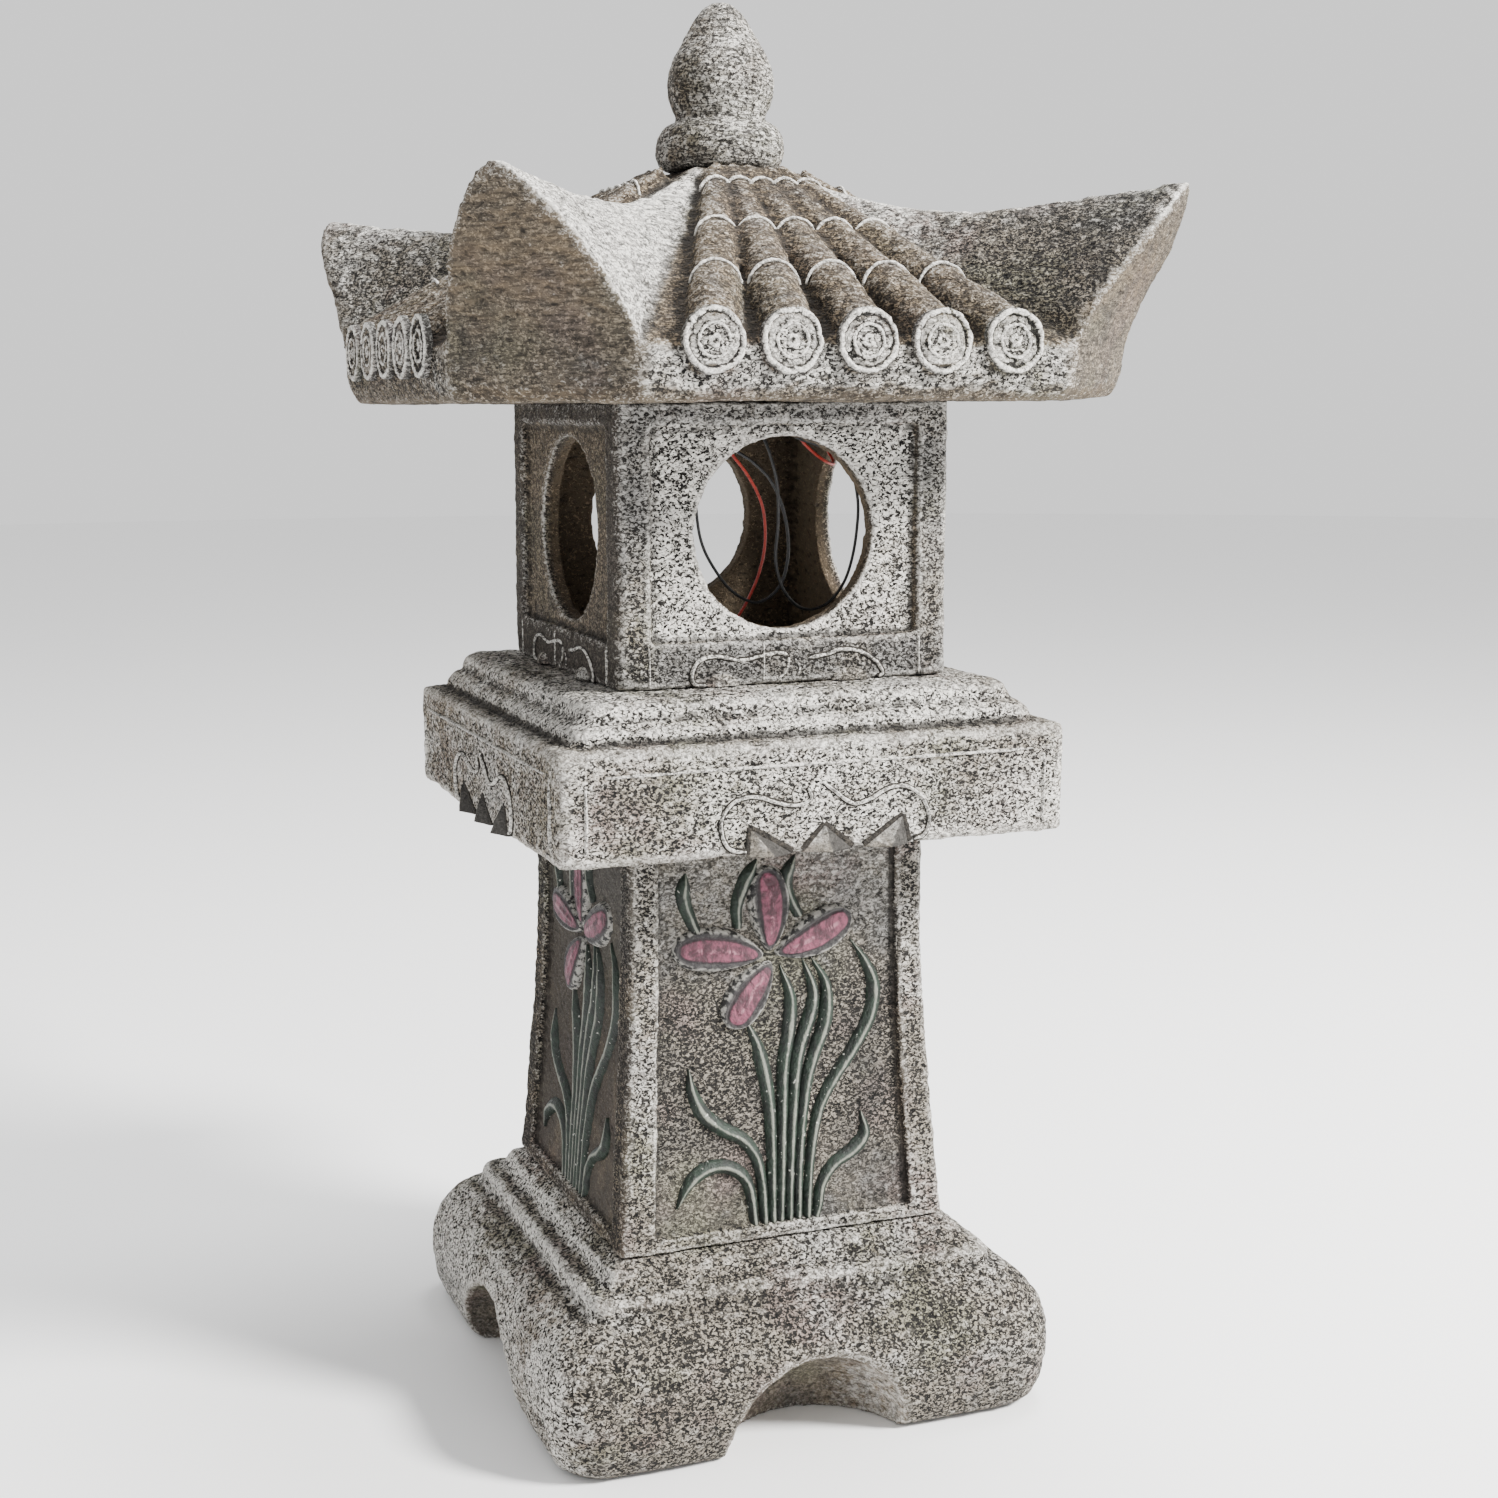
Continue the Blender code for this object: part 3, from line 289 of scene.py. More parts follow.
def rod(radius, start, end, steps=16):
    start, end = Vector(start), Vector(end)
    along = end - start
    turn = Vector((0, 0, 1)).rotation_difference(along).to_matrix().to_4x4()
    bm = loft([circle_ring(radius, 0.0, steps), circle_ring(radius, along.length, steps)])
    bm.transform(Matrix.Translation(start) @ turn)
    return bm


def ball(radius, centre, scale=(1, 1, 1)):
    bm = bmesh.new()
    spot = Matrix.Translation(centre) @ Matrix.Diagonal((*scale, 1.0))
    bmesh.ops.create_uvsphere(bm, u_segments=48, v_segments=24, radius=radius, matrix=spot)
    return bm


def turned(profile, steps):
    """A solid of revolution about the Z axis; its profile starts and ends on the axis."""
    bm = bmesh.new()
    ends = [bm.verts.new((0, 0, profile[i][1])) for i in (0, -1)]
    rows = [[bm.verts.new(p) for p in circle_ring(r, z, steps)] for r, z in profile[1:-1]]
    join_rows(bm, rows, capped=False)
    for end, row in zip(ends, (rows[0], rows[-1])):
        for i in range(steps):
            bm.faces.new((end, row[i], row[(i + 1) % steps]))
    return bm


def combine(thing, other, operation):
    """A Boolean with a helper mesh, which is removed when the thing is baked."""
    helper = place(f"helper {thing.name} {len(thing.modifiers)}", other, None)
    step = thing.modifiers.new(operation, "BOOLEAN")
    step.object = helper
    step.operation = operation
    step.solver = "EXACT"


def cut(thing, other):
    combine(thing, other, "DIFFERENCE")


def join(thing, other):
    combine(thing, other, "UNION")


def bake(thing):
    """Applies a thing's modifiers and removes the helpers that they used."""
    graph = bpy.context.evaluated_depsgraph_get()
    graph.update()
    mesh = bpy.data.meshes.new_from_object(thing.evaluated_get(graph))
    old = thing.data
    mesh.materials.clear()
    for mat in old.materials:
        mesh.materials.append(mat)
    helpers = [m.object for m in thing.modifiers if m.type == "BOOLEAN"]
    thing.modifiers.clear()
    thing.data = mesh
    for helper in helpers:
        bpy.data.objects.remove(helper, do_unlink=True)


def remesh(thing, voxel, soften):
    """Rebuilds a solid as an even mesh of small quads, with its edges rounded over."""
    bake(thing)
    step = thing.modifiers.new("remesh", "REMESH")
    step.mode = "VOXEL"
    step.voxel_size = voxel
    step.use_smooth_shade = True
    ease = thing.modifiers.new("soften", "SMOOTH")
    ease.factor = 0.5
    ease.iterations = soften
    bake(thing)


# ---- wearing a casting ----
def arrays(mesh):
    co = np.empty(len(mesh.vertices) * 3, np.float32)
    mesh.vertices.foreach_get("co", co)
    normals = np.empty(len(mesh.vertices) * 3, np.float32)
    mesh.vertex_normals.foreach_get("vector", normals)
    return co.reshape(-1, 3).astype(float), normals.reshape(-1, 3).astype(float)


def edges_of(mesh):
    pairs = np.empty(len(mesh.edges) * 2, np.int32)
    mesh.edges.foreach_get("vertices", pairs)
    return pairs.reshape(-1, 2)


def spread(values, pairs, times):
    """Values averaged with their neighbours' a number of times."""
    count = np.bincount(pairs.ravel(), minlength=len(values)).astype(float)
    for _ in range(times):
        total = np.zeros_like(values)
        for a, b in ((0, 1), (1, 0)):
            for k in range(values.shape[1]):
                total[:, k] += np.bincount(pairs[:, a], values[pairs[:, b], k], minlength=len(values))
        values = 0.5 * values + 0.5 * total / count[:, None]
    return values


def hollowness(co, normals, pairs, times):
    """How far the surface round each point stands above it: positive in hollows, negative on edges."""
    return np.einsum("ij,ij->i", spread(co, pairs, times) - co, normals)


def lumps(co, scale, octaves, seed):
    """Smooth noise, about -1 to 1, with lumps about 1 / scale across."""
    shift = Vector((seed * 7.31, seed * 3.17, seed * 5.73))
    return np.array([noise.fractal(Vector(p) * scale + shift, 0.8, 2.1, octaves) for p in co])


def write_attribute(mesh, name, values):
    layer = mesh.attributes.new(name, "FLOAT", "POINT")
    layer.data.foreach_set("value", values.astype(np.float32))


# The look attributes: limewash, brown soil, slate soot and smoothness. The first three also carry painted
# light and shade on some faces.
STAIN_AND_LIGHT_KEYS = ("lime_and_light", "brown_and_shade", "soot_and_shade", "calm")


def write_stains_and_light(mesh, *looks):
    for name, values in zip(STAIN_AND_LIGHT_KEYS, looks):
        write_attribute(mesh, name, values)


def ramp(values, low, high):
    """0 at low, 1 at high and straight between."""
    return np.clip((values - low) / (high - low), 0, 1)


def near_and_out(co):
    """Each point's distances from the two middle planes, the smaller and the larger."""
    flat = abs(co[:, :2])
    return flat.min(axis=1), flat.max(axis=1)


def rightward(co, normals):
    """How far each point's surface leans to the right, as its own side is looked at."""
    beside = np.where(co[:, 0] > 0, normals[:, 1], -normals[:, 1])
    facing = np.where(co[:, 1] > 0, -normals[:, 0], normals[:, 0])
    return np.where(abs(co[:, 0]) > abs(co[:, 1]), beside, facing)


def plain_looks(co, normals):
    """How a casting is stained: limewash, brown soil, slate soot and smoothness, each from 0 to 1.
    The left side is browner and less limed: painted shade, with some brown paint in it."""
    level = np.ones(len(co))
    # Faces turned to -X, away from the key light: painted shade, with some brown paint.
    left = ramp(-normals[:, 0], 0.3, 0.9)
    return 0.40 * level - 0.16 * left, 0.28 * level + 0.50 * left, 0.28 * level, 0.0 * level


def weather(thing, seed, rough=0.00028, sway=0.00045, chip=0.0012, keep=None, looks=plain_looks):
    """Wears a casting with slow sway, rough skin and chipped edges, and notes its hollows and its staining,
    with the painted light and shade that its looks put in.
    """
    mesh = thing.data
    co, normals = arrays(mesh)
    pairs = edges_of(mesh)
    broad = hollowness(co, normals, pairs, 10)
    edge = np.clip(-broad / 0.00045, 0, 1)
    skin = lumps(co * (0.8, 0.8, 1.25), 300, 2, seed)
    patch = lumps(co, 70, 2, seed + 3)
    push = sway * lumps(co, 28, 2, seed + 1) + rough * skin
    push -= chip * edge * np.clip(patch - 0.12, 0, 1)
    if keep is not None:
        push *= keep(co)
    co += normals * push[:, None]
    co = np.clip(co, *CAD_BOX)
    mesh.vertices.foreach_set("co", co.astype(np.float32).ravel())
    mesh.update()
    co, normals = arrays(mesh)
    broad = hollowness(co, normals, pairs, 12)
    fine = hollowness(co, normals, pairs, 2)
    write_attribute(mesh, "broad", np.clip(broad / 0.0006, -1, 1))
    write_attribute(mesh, "fine", np.clip(fine / 0.00012, -1, 1))
    write_stains_and_light(mesh, *looks(co, normals))


# ---- materials ----
class Shader:
    """A material's node tree, with short names for the nodes that the materials here use."""

    def __init__(self, name, roughness=0.9, metallic=0.0):
        self.material = bpy.data.materials.new(name)
        self.material.use_nodes = True
        self.tree = self.material.node_tree
        self.out = self.tree.nodes["Principled BSDF"]
        self.out.inputs["Roughness"].default_value = roughness
        self.out.inputs["Metallic"].default_value = metallic
        self.place = self.tree.nodes.new("ShaderNodeTexCoord").outputs["Object"]

    def node(self, kind, **inputs):
        made = self.tree.nodes.new(kind)
        for key, value in inputs.items():
            self.feed(made.inputs[key.replace("_", " ")], value)
        return made

    def feed(self, socket, value):
        if isinstance(value, bpy.types.NodeSocket):
            self.tree.links.new(value, socket)
        else:
            socket.default_value = value

    def stretch(self, scale, offset=(0.0, 0.0, 0.0)):
        made = self.tree.nodes.new("ShaderNodeMapping")
        self.tree.links.new(self.place, made.inputs["Vector"])
        made.inputs["Scale"].default_value = scale
        made.inputs["Location"].default_value = offset
        return made.outputs["Vector"]

    def noise(self, scale, detail=3.0, rough=0.55, vector=None, warp=0.0):
        made = self.node("ShaderNodeTexNoise", Scale=scale, Detail=detail, Roughness=rough, Distortion=warp)
        self.tree.links.new(vector or self.place, made.inputs["Vector"])
        return made.outputs["Fac"]

    def cells(self, scale, vector=None, feature="F1"):
        made = self.node("ShaderNodeTexVoronoi", Scale=scale)
        made.feature = feature
        self.tree.links.new(vector or self.place, made.inputs["Vector"])
        return made.outputs["Distance"]

    def step(self, value, low, high):
        """0 below low, 1 above high and smooth between; low above high turns it round."""
        made = self.tree.nodes.new("ShaderNodeMapRange")
        made.interpolation_type = "SMOOTHSTEP"
        self.feed(made.inputs["Value"], value)
        ends = (low, high, 0.0, 1.0) if low < high else (high, low, 1.0, 0.0)
        for key, end in zip(("From Min", "From Max", "To Min", "To Max"), ends):
            made.inputs[key].default_value = end
        return made.outputs["Result"]

    def math(self, operation, a, b=0.0, c=0.0):
        made = self.tree.nodes.new("ShaderNodeMath")
        made.operation = operation
        for socket, value in zip(made.inputs, (a, b, c)):
            self.feed(socket, value)
        return made.outputs["Value"]

    def times(self, a, b):
        return self.math("MULTIPLY", a, b)

    def plus(self, a, b):
        return self.math("ADD", a, b)

    def most(self, a, b):
        return self.math("MAXIMUM", a, b)

    def rest(self, a):
        return self.math("SUBTRACT", 1.0, a)

    def mix(self, share, a, b, blend="MIX"):
        made = self.tree.nodes.new("ShaderNodeMix")
        made.data_type = "RGBA"
        made.blend_type = blend
        self.feed(made.inputs[0], share)
        for socket, value in zip((made.inputs[6], made.inputs[7]), (a, b)):
            self.feed(socket, value if isinstance(value, bpy.types.NodeSocket) else (*value, 1.0))
        return made.outputs[2]

    def attribute(self, name):
        made = self.tree.nodes.new("ShaderNodeAttribute")
        made.attribute_name = name
        return made.outputs["Fac"]

    def spot(self):
        """The point's place in the object's own frame, as x, y and z."""
        split = self.tree.nodes.new("ShaderNodeSeparateXYZ")
        self.tree.links.new(self.place, split.inputs[0])
        return split.outputs

    def bump(self, height, distance, strength=1.0):
        made = self.tree.nodes.new("ShaderNodeBump")
        made.inputs["Distance"].default_value = distance
        made.inputs["Strength"].default_value = strength
        self.tree.links.new(height, made.inputs["Height"])
        self.tree.links.new(made.outputs["Normal"], self.out.inputs["Normal"])

    def finish(self, colour=None, roughness=None):
        if colour is not None:
            self.feed(self.out.inputs["Base Color"], colour)
        if roughness is not None:
            self.feed(self.out.inputs["Roughness"], roughness)
        return self.material


def floor_material():
    shader = Shader("pale floor", 0.9)
    return shader.finish((0.92, 0.92, 0.92, 1.0))


LIME = (0.74, 0.715, 0.665)
CRUMB = (0.27, 0.252, 0.218)
GREY = (0.050, 0.048, 0.045)
BROWN = (0.052, 0.038, 0.027)
SAND = (0.235, 0.178, 0.115)
SOOT = (0.005, 0.005, 0.005)
SLATE = (0.022, 0.026, 0.034)
ROSE = (0.20, 0.130, 0.130)
MOSS = (0.165, 0.175, 0.105)


def stone_material(name, streaks=0.0):
    """Weathered cast stone: pitted crumbs under patchy limewash, soot and painted shade in the hollows,
    wear and a painted highlight on the edges, and faint tints.

    The limewash, brown, soot and calm attributes say where a casting is limed, brown, blackened with soot or
    smooth, and the first three also carry painted light and shade on some faces; broad and fine say where it
    is hollow (above 0) or an edge (below 0). streaks drags the skin sideways."""
    shader = Shader(name, 0.93)
    shader.out.inputs["Specular IOR Level"].default_value = 0.22
    times, plus, most, rest = shader.times, shader.plus, shader.most, shader.rest
    flat = shader.stretch((1.0, 1.0, 1.5))
    wide = shader.stretch((0.45, 0.45, 2.4), (2.0, 1.0, 4.0))
    skin = shader.noise(330, 3.0, 0.60, flat, 0.5)
    crumb = shader.noise(880, 2.0, 0.55, shader.stretch((1.0, 1.0, 1.35), (5.0, 3.0, 1.0)), 0.8)
    grain = shader.noise(1300, 2.0, 0.6)
    drag = shader.noise(420, 3.0, 0.6, wide, 0.3)
    patch = shader.noise(15, 4.0, 0.62, warp=0.7)
    spotty = shader.noise(52, 3.0, 0.6, shader.stretch((1, 1, 1), (3.1, 1.7, 0.9)), 0.5)
    lime_and_light, brown_and_shade, soot_and_shade, calm = (shader.attribute(key) for key in STAIN_AND_LIGHT_KEYS)
    fine, broad = shader.attribute("fine"), shader.attribute("broad")
    rough = rest(times(calm, 0.8))

    ground = shader.mix(brown_and_shade, GREY, BROWN)
    crumbs = shader.mix(brown_and_shade, CRUMB, SAND)
    tint = shader.step(shader.noise(33, 2.0, 0.5, shader.stretch((1, 1, 1), (9.0, 2.0, 5.0))), 0.52, 0.66)
    tinted = shader.math("SUBTRACT", 0.55, times(brown_and_shade, 0.45))
    crumbs = shader.mix(times(tint, tinted), crumbs, ROSE)
    tint = shader.step(shader.noise(29, 2.0, 0.5, shader.stretch((1, 1, 1), (1.0, 8.0, 3.0))), 0.52, 0.66)
    crumbs = shader.mix(times(tint, tinted), crumbs, MOSS)
    cover = plus(plus(lime_and_light, times(patch, 0.9)), plus(times(spotty, 0.60), times(skin, 0.75)))
    cover = shader.step(cover, 1.42, 1.90)
    light = shader.mix(times(cover, 0.92), crumbs, LIME)
    # Slate where the soot attribute runs high: soot, and painted shade where the looks put shade into it.
    shaded_and_sooty = shader.step(plus(plus(soot_and_shade, times(spotty, 0.8)), times(patch, 0.6)), 0.98, 1.34)
    light = shader.mix(times(shaded_and_sooty, 0.66), light, SLATE)
    gap = shader.mix(0.25, SOOT, ground)

    lean = plus(times(spotty, 0.14), plus(times(lime_and_light, 0.10), times(skin, 0.14)))
    tone = shader.step(plus(crumb, lean), 0.645, 0.722)
    tone = plus(times(tone, rough), times(rest(rough), 0.72))
    if streaks:
        line = times(shader.step(drag, 0.50, 0.40), streaks)
        tone = times(tone, rest(line))
    # Darker in hollows and creases: painted shade, with some soot. The slab petals' right facets and the
    # groove strips are darkened here as painted shade too.
    hollow = most(times(shader.step(fine, 0.15, 0.90), 0.70), times(shader.step(broad, 0.22, 0.90), 0.85))
    tone = times(tone, rest(hollow))
    keep_clear = shader.step(broad, -0.15, -0.75)
    tone = most(tone, times(keep_clear, 0.42))
    colour = shader.mix(tone, gap, light)
    pit = times(shader.step(plus(skin, times(crumb, 0.5)), 0.620, 0.560), rough)
    pit = times(pit, rest(times(keep_clear, 0.6)))
    colour = shader.mix(times(pit, 0.70), colour, SOOT)
    # Convex edges lightened: rubbed wear, and a painted edge highlight.
    worn = times(keep_clear, shader.step(plus(crumb, times(lime_and_light, 0.25)), 0.50, 0.66))
    colour = shader.mix(times(worn, 0.42), colour, (0.66, 0.64, 0.60))

    height = plus(times(skin, 0.8), times(tone, 0.26))
    height = plus(height, times(grain, 0.20))
    if streaks:
        height = plus(height, times(drag, 1.3 * streaks))
    height = shader.math("SUBTRACT", height, times(pit, 0.40))
    height = times(height, rest(times(calm, 0.75)))
    shader.bump(height, 0.0030, 1.0)
    return shader.finish(colour)


def petal_material():
    """A painted petal: pink inside a groove painted near black as its shade, with bare stone outside it. rim
    is 0 at the midline.
    """
    shader = Shader("pink petal paint", 0.6)
    rim = shader.attribute("rim")
    brush = shader.noise(300, 4.0, 0.68, shader.stretch((1.0, 1.0, 0.6)), 0.5)
    colour = shader.mix(shader.step(brush, 0.38, 0.64), (0.036, 0.006, 0.013), (0.172, 0.038, 0.070))
    worn = shader.times(shader.step(rim, 0.16, 0.05), shader.step(brush, 0.46, 0.60))
    colour = shader.mix(shader.times(worn, 0.60), colour, (0.34, 0.17, 0.20))
    wobble = shader.plus(rim, shader.times(shader.noise(230, 3.0, 0.6), 0.14))
    groove = shader.times(shader.step(wobble, 0.49, 0.59), shader.step(wobble, 0.92, 0.78))
    specks = shader.step(shader.noise(520, 3.0, 0.6), 0.42, 0.56)
    stone = shader.mix(specks, (0.010, 0.010, 0.010), (0.30, 0.29, 0.265))
    colour = shader.mix(shader.step(wobble, 0.60, 0.70), colour, stone)
    # The groove round the paint, painted near black: painted shade.
    colour = shader.mix(shader.times(groove, 0.92), colour, (0.006, 0.004, 0.005))
    shader.bump(shader.noise(600, 4.0, 0.65), 0.0009, 1.0)
    return shader.finish(colour)


def leaf_material():
    """A painted leaf: dark green flanks and a crest worn back to pale stone. rim is 0 on the crest."""
    shader = Shader("green leaf paint", 0.55)
    rim = shader.attribute("rim")
    brush = shader.noise(300, 4.0, 0.68, shader.stretch((1.0, 1.0, 0.4)), 0.5)
    green = shader.mix(shader.step(brush, 0.38, 0.64), (0.002, 0.005, 0.003), (0.009, 0.021, 0.012))
    wobble = shader.plus(rim, shader.times(brush, 0.75))
    crest = shader.step(wobble, 0.68, 0.42)
    colour = shader.mix(shader.times(crest, 0.72), green, (0.215, 0.225, 0.185))
    fleck = shader.step(shader.noise(620, 2.0, 0.5), 0.68, 0.76)
    colour = shader.mix(fleck, colour, (0.45, 0.45, 0.41))
    shader.bump(shader.noise(600, 4.0, 0.65), 0.0009, 1.0)
    return shader.finish(colour)


def wire_material(name, dark, light):
    """Soft wire insulation with a faint drawn grain and dust."""
    shader = Shader(name, 0.38)
    dust = shader.noise(900, 3.0, 0.6)
    colour = shader.mix(shader.step(dust, 0.45, 0.70), dark, light)
    shader.bump(shader.noise(2500, 2.0, 0.5), 0.0001, 0.5)
    return shader.finish(colour, shader.plus(0.30, shader.times(dust, 0.22)))


def moulded_material(name, dark, light, roughness=0.5, scale=900):
    """Moulded plastic or rubber with a fine spark-eroded grain and dust in patches."""
    shader = Shader(name, roughness)
    grain = shader.noise(scale, 3.0, 0.6)
    dust = shader.noise(75, 4.0, 0.6)
    patchy = shader.step(shader.plus(dust, shader.times(grain, 0.2)), 0.48, 0.72)
    colour = shader.mix(patchy, dark, light)
    shader.bump(shader.noise(scale * 2.5, 2.0, 0.5), 0.00018, 0.7)
    rough = shader.plus(shader.times(dust, 0.22), roughness - 0.08)
    return shader.finish(colour, rough)


def metal_material(name, bright, dull, roughness=0.3, cross_at=None):
    """Plated metal with brushed lines and dull spots, and a driver's cross painted near black in a screw's
    head as the shade in its recess.
    """
    shader = Shader(name, roughness, 1.0)
    lines = shader.noise(2200, 2.0, 0.5, shader.stretch((0.12, 1.0, 1.0)))
    spots = shader.noise(420, 4.0, 0.6)
    colour = shader.mix(shader.step(spots, 0.46, 0.66), bright, dull)
    if cross_at:
        x, y, _ = shader.spot()
        beside = [shader.math("ABSOLUTE", shader.math("SUBTRACT", a, b)) for a, b in zip((x, y), cross_at)]
        slots = [
            shader.times(shader.step(thin, 0.00045, 0.00035), shader.step(long, 0.0017, 0.0015))
            for thin, long in (beside, beside[::-1])
        ]
        # The cross, painted near black: painted shade in the driver's recess.
        colour = shader.mix(shader.most(*slots), colour, (0.02, 0.02, 0.02))
    shader.bump(lines, 0.00012, 0.6)
    return shader.finish(colour, shader.plus(shader.times(spots, 0.25), roughness - 0.06))


def battery_material():
    """A shrink sleeve: dark green with a brass-coloured band and bare nickel at the battery's two ends."""
    shader = Shader("battery sleeve", 0.32)
    x, _, _ = shader.spot()
    low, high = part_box("battery")
    scuff = shader.step(shader.noise(700, 4.0, 0.65, shader.stretch((0.25, 1.0, 1.0))), 0.56, 0.72)
    colour = shader.mix(scuff, (0.012, 0.070, 0.030), (0.060, 0.130, 0.080))
    band = shader.step(x, high[0] - 0.0150, high[0] - 0.0148)
    colour = shader.mix(band, colour, (0.42, 0.26, 0.08))
    plus_end = shader.step(x, high[0] - 0.0020, high[0] - 0.0018)
    bare = shader.most(plus_end, shader.step(x, low[0] + 0.0008, low[0] + 0.0006))
    colour = shader.mix(bare, colour, (0.55, 0.54, 0.50))
    shader.bump(shader.noise(1500, 2.0, 0.5), 0.00008, 0.6)
    shiny = shader.most(shader.times(band, 0.6), bare)
    shader.feed(shader.out.inputs["Metallic"], shiny)
    return shader.finish(colour, shader.plus(shader.times(scuff, 0.25), 0.25))


def board_material():
    """A green circuit board with etched tracks and tinned pads; the parts on its front are black."""
    shader = Shader("circuit board", 0.4)
    _, y, _ = shader.spot()
    weave = shader.noise(900, 2.0, 0.5)
    tracks = shader.step(shader.cells(330, shader.stretch((1.0, 0.02, 0.35)), "DISTANCE_TO_EDGE"), 0.10, 0.06)
    colour = shader.mix(tracks, (0.008, 0.090, 0.035), (0.025, 0.170, 0.070))
    pads = shader.step(shader.cells(420, shader.stretch((1.0, 0.02, 1.0))), 0.16, 0.12)
    colour = shader.mix(pads, colour, (0.50, 0.50, 0.48))
    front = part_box("circuit_board")[0][1]
    parts = shader.step(y, front + 0.0014, front + 0.0012)
    colour = shader.mix(parts, colour, (0.018, 0.018, 0.020))
    shader.bump(shader.plus(weave, tracks), 0.00010, 0.7)
    return shader.finish(colour, shader.plus(shader.times(weave, 0.2), 0.32))


def cell_material():
    """Polycrystalline silicon under epoxy: blue grains of slightly different depth."""
    shader = Shader("solar cell", 0.16)
    grains = shader.node("ShaderNodeTexVoronoi", Scale=230.0)
    shader.tree.links.new(shader.stretch((1.0, 1.0, 1.0)), grains.inputs["Vector"])
    split = shader.tree.nodes.new("ShaderNodeSeparateColor")
    shader.tree.links.new(grains.outputs["Color"], split.inputs[0])
    colour = shader.mix(split.outputs[0], (0.006, 0.012, 0.045), (0.020, 0.040, 0.130))
    dust = shader.noise(120, 4.0, 0.6)
    colour = shader.mix(shader.step(dust, 0.55, 0.80), colour, (0.10, 0.10, 0.10))
    shader.out.inputs["Coat Weight"].default_value = 0.6
    shader.bump(shader.noise(900, 2.0, 0.5), 0.00005, 0.5)
    return shader.finish(colour, shader.plus(shader.times(dust, 0.25), 0.08))


def clear_material(name, pale, deep, through, roughness):
    """Epoxy or a frosted moulding that lets some light through, with a faint flow grain."""
    shader = Shader(name, roughness)
    shader.out.inputs["Transmission Weight"].default_value = through
    shader.out.inputs["IOR"].default_value = 1.49
    flow = shader.noise(240, 3.0, 0.6)
    colour = shader.mix(shader.step(flow, 0.40, 0.65), pale, deep)
    shader.bump(shader.noise(1800, 2.0, 0.5), 0.00008, 0.6)
    return shader.finish(colour, shader.plus(shader.times(flow, 0.2), roughness - 0.1))


BEVELLED = ("solar_tray", "light_housing", "battery_door", "switch_slider", "circuit_board", "led_holder")
BEVEL_WIDTH = 0.0002
SCREWS = ("housing_screw_left", "housing_screw_right", "lamp_screw")
STEEL = ((0.56, 0.56, 0.57), (0.34, 0.33, 0.31))


def finish_kit():
    black = moulded_material("black plastic", (0.018, 0.018, 0.019), (0.050, 0.048, 0.045))
    white = moulded_material("white plastic", (0.62, 0.60, 0.55), (0.48, 0.45, 0.40), 0.45)
    rubber = moulded_material("black rubber", (0.014, 0.014, 0.014), (0.045, 0.043, 0.040), 0.72, 700)
    steel = metal_material("steel", *STEEL)
    nickel = metal_material("nickel plate", (0.64, 0.62, 0.57), (0.42, 0.40, 0.35), 0.26)
    looks = {
        "solar_tray": black,
        "light_housing": black,
        "battery_door": black,
        "door_hinge_pin": steel,
        "battery": battery_material(),
        "battery_contact_plate": nickel,
        "battery_spring": nickel,
        "circuit_board": board_material(),
        "switch_slider": moulded_material("switch plastic", (0.50, 0.50, 0.48), (0.36, 0.35, 0.33), 0.42),
        "led_holder": white,
        "led": clear_material("led epoxy", (0.90, 0.84, 0.58), (0.80, 0.72, 0.44), 0.55, 0.16),
        "lamp_diffuser": clear_material("diffuser", (0.84, 0.83, 0.79), (0.74, 0.72, 0.67), 0.45, 0.45),
        "lamp_gland": rubber,
        "charge_gland": rubber,
        "panel_grommet": rubber,
    }
    for name in SCREWS:
        low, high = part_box(name)
        middle = ((low[0] + high[0]) / 2, (low[1] + high[1]) / 2)
        looks[name] = metal_material(name + " steel", *STEEL, cross_at=middle)
    for name, mat in looks.items():
        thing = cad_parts[name]
        for slot in thing.material_slots:
            slot.material = mat
        if not thing.material_slots:
            thing.data.materials.append(mat)
    for name in BEVELLED:
        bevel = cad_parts[name].modifiers.new("broken edges", "BEVEL")
        bevel.width = BEVEL_WIDTH
        bevel.segments = 2
        bevel.limit_method = "ANGLE"
        bevel.angle_limit = math.radians(40)


# ---- raised bands: leaves, petals, scrolls and lines ----
FOOT = 0.0010


def curve_through(points, count):
    """Points evenly numbered along the smooth curve through a few, all (across, up)."""
    ends = with_ends(points)
    found = []
    for i in range(count + 1):
        at = min(i / count * (len(points) - 1), len(points) - 1 - 1e-6)
        found.append(between(*ends[int(at) : int(at) + 4], at - int(at)))
    return found


def crest_section(u):
    """The height of a leaf or a bead across its width, u from -1 to 1."""
    return max(1 - abs(u) ** 1.8, 0.0)


def petal_section(rim):
    """A dished petal: a midrib, a hollow, a groove round the paint and a rounded outside."""
    rib = 0.14 * math.exp(-((rim / 0.12) ** 2))
    groove = 0.26 * math.exp(-(((rim - 0.59) / 0.08) ** 2))
    return max((1 - rim**5) * (0.72 + 0.42 * rim * rim + rib - groove), 0.0)


def petal_rim(u, share):
    """0 on a petal's midrib and 1 at its outline, closed round both ends."""
    along = 2 * share - 1
    return min((abs(u) ** 2.6 + abs(along) ** 11) ** (1 / 2.6), 1.0)


def plain_rim(u, share):
    return abs(u)


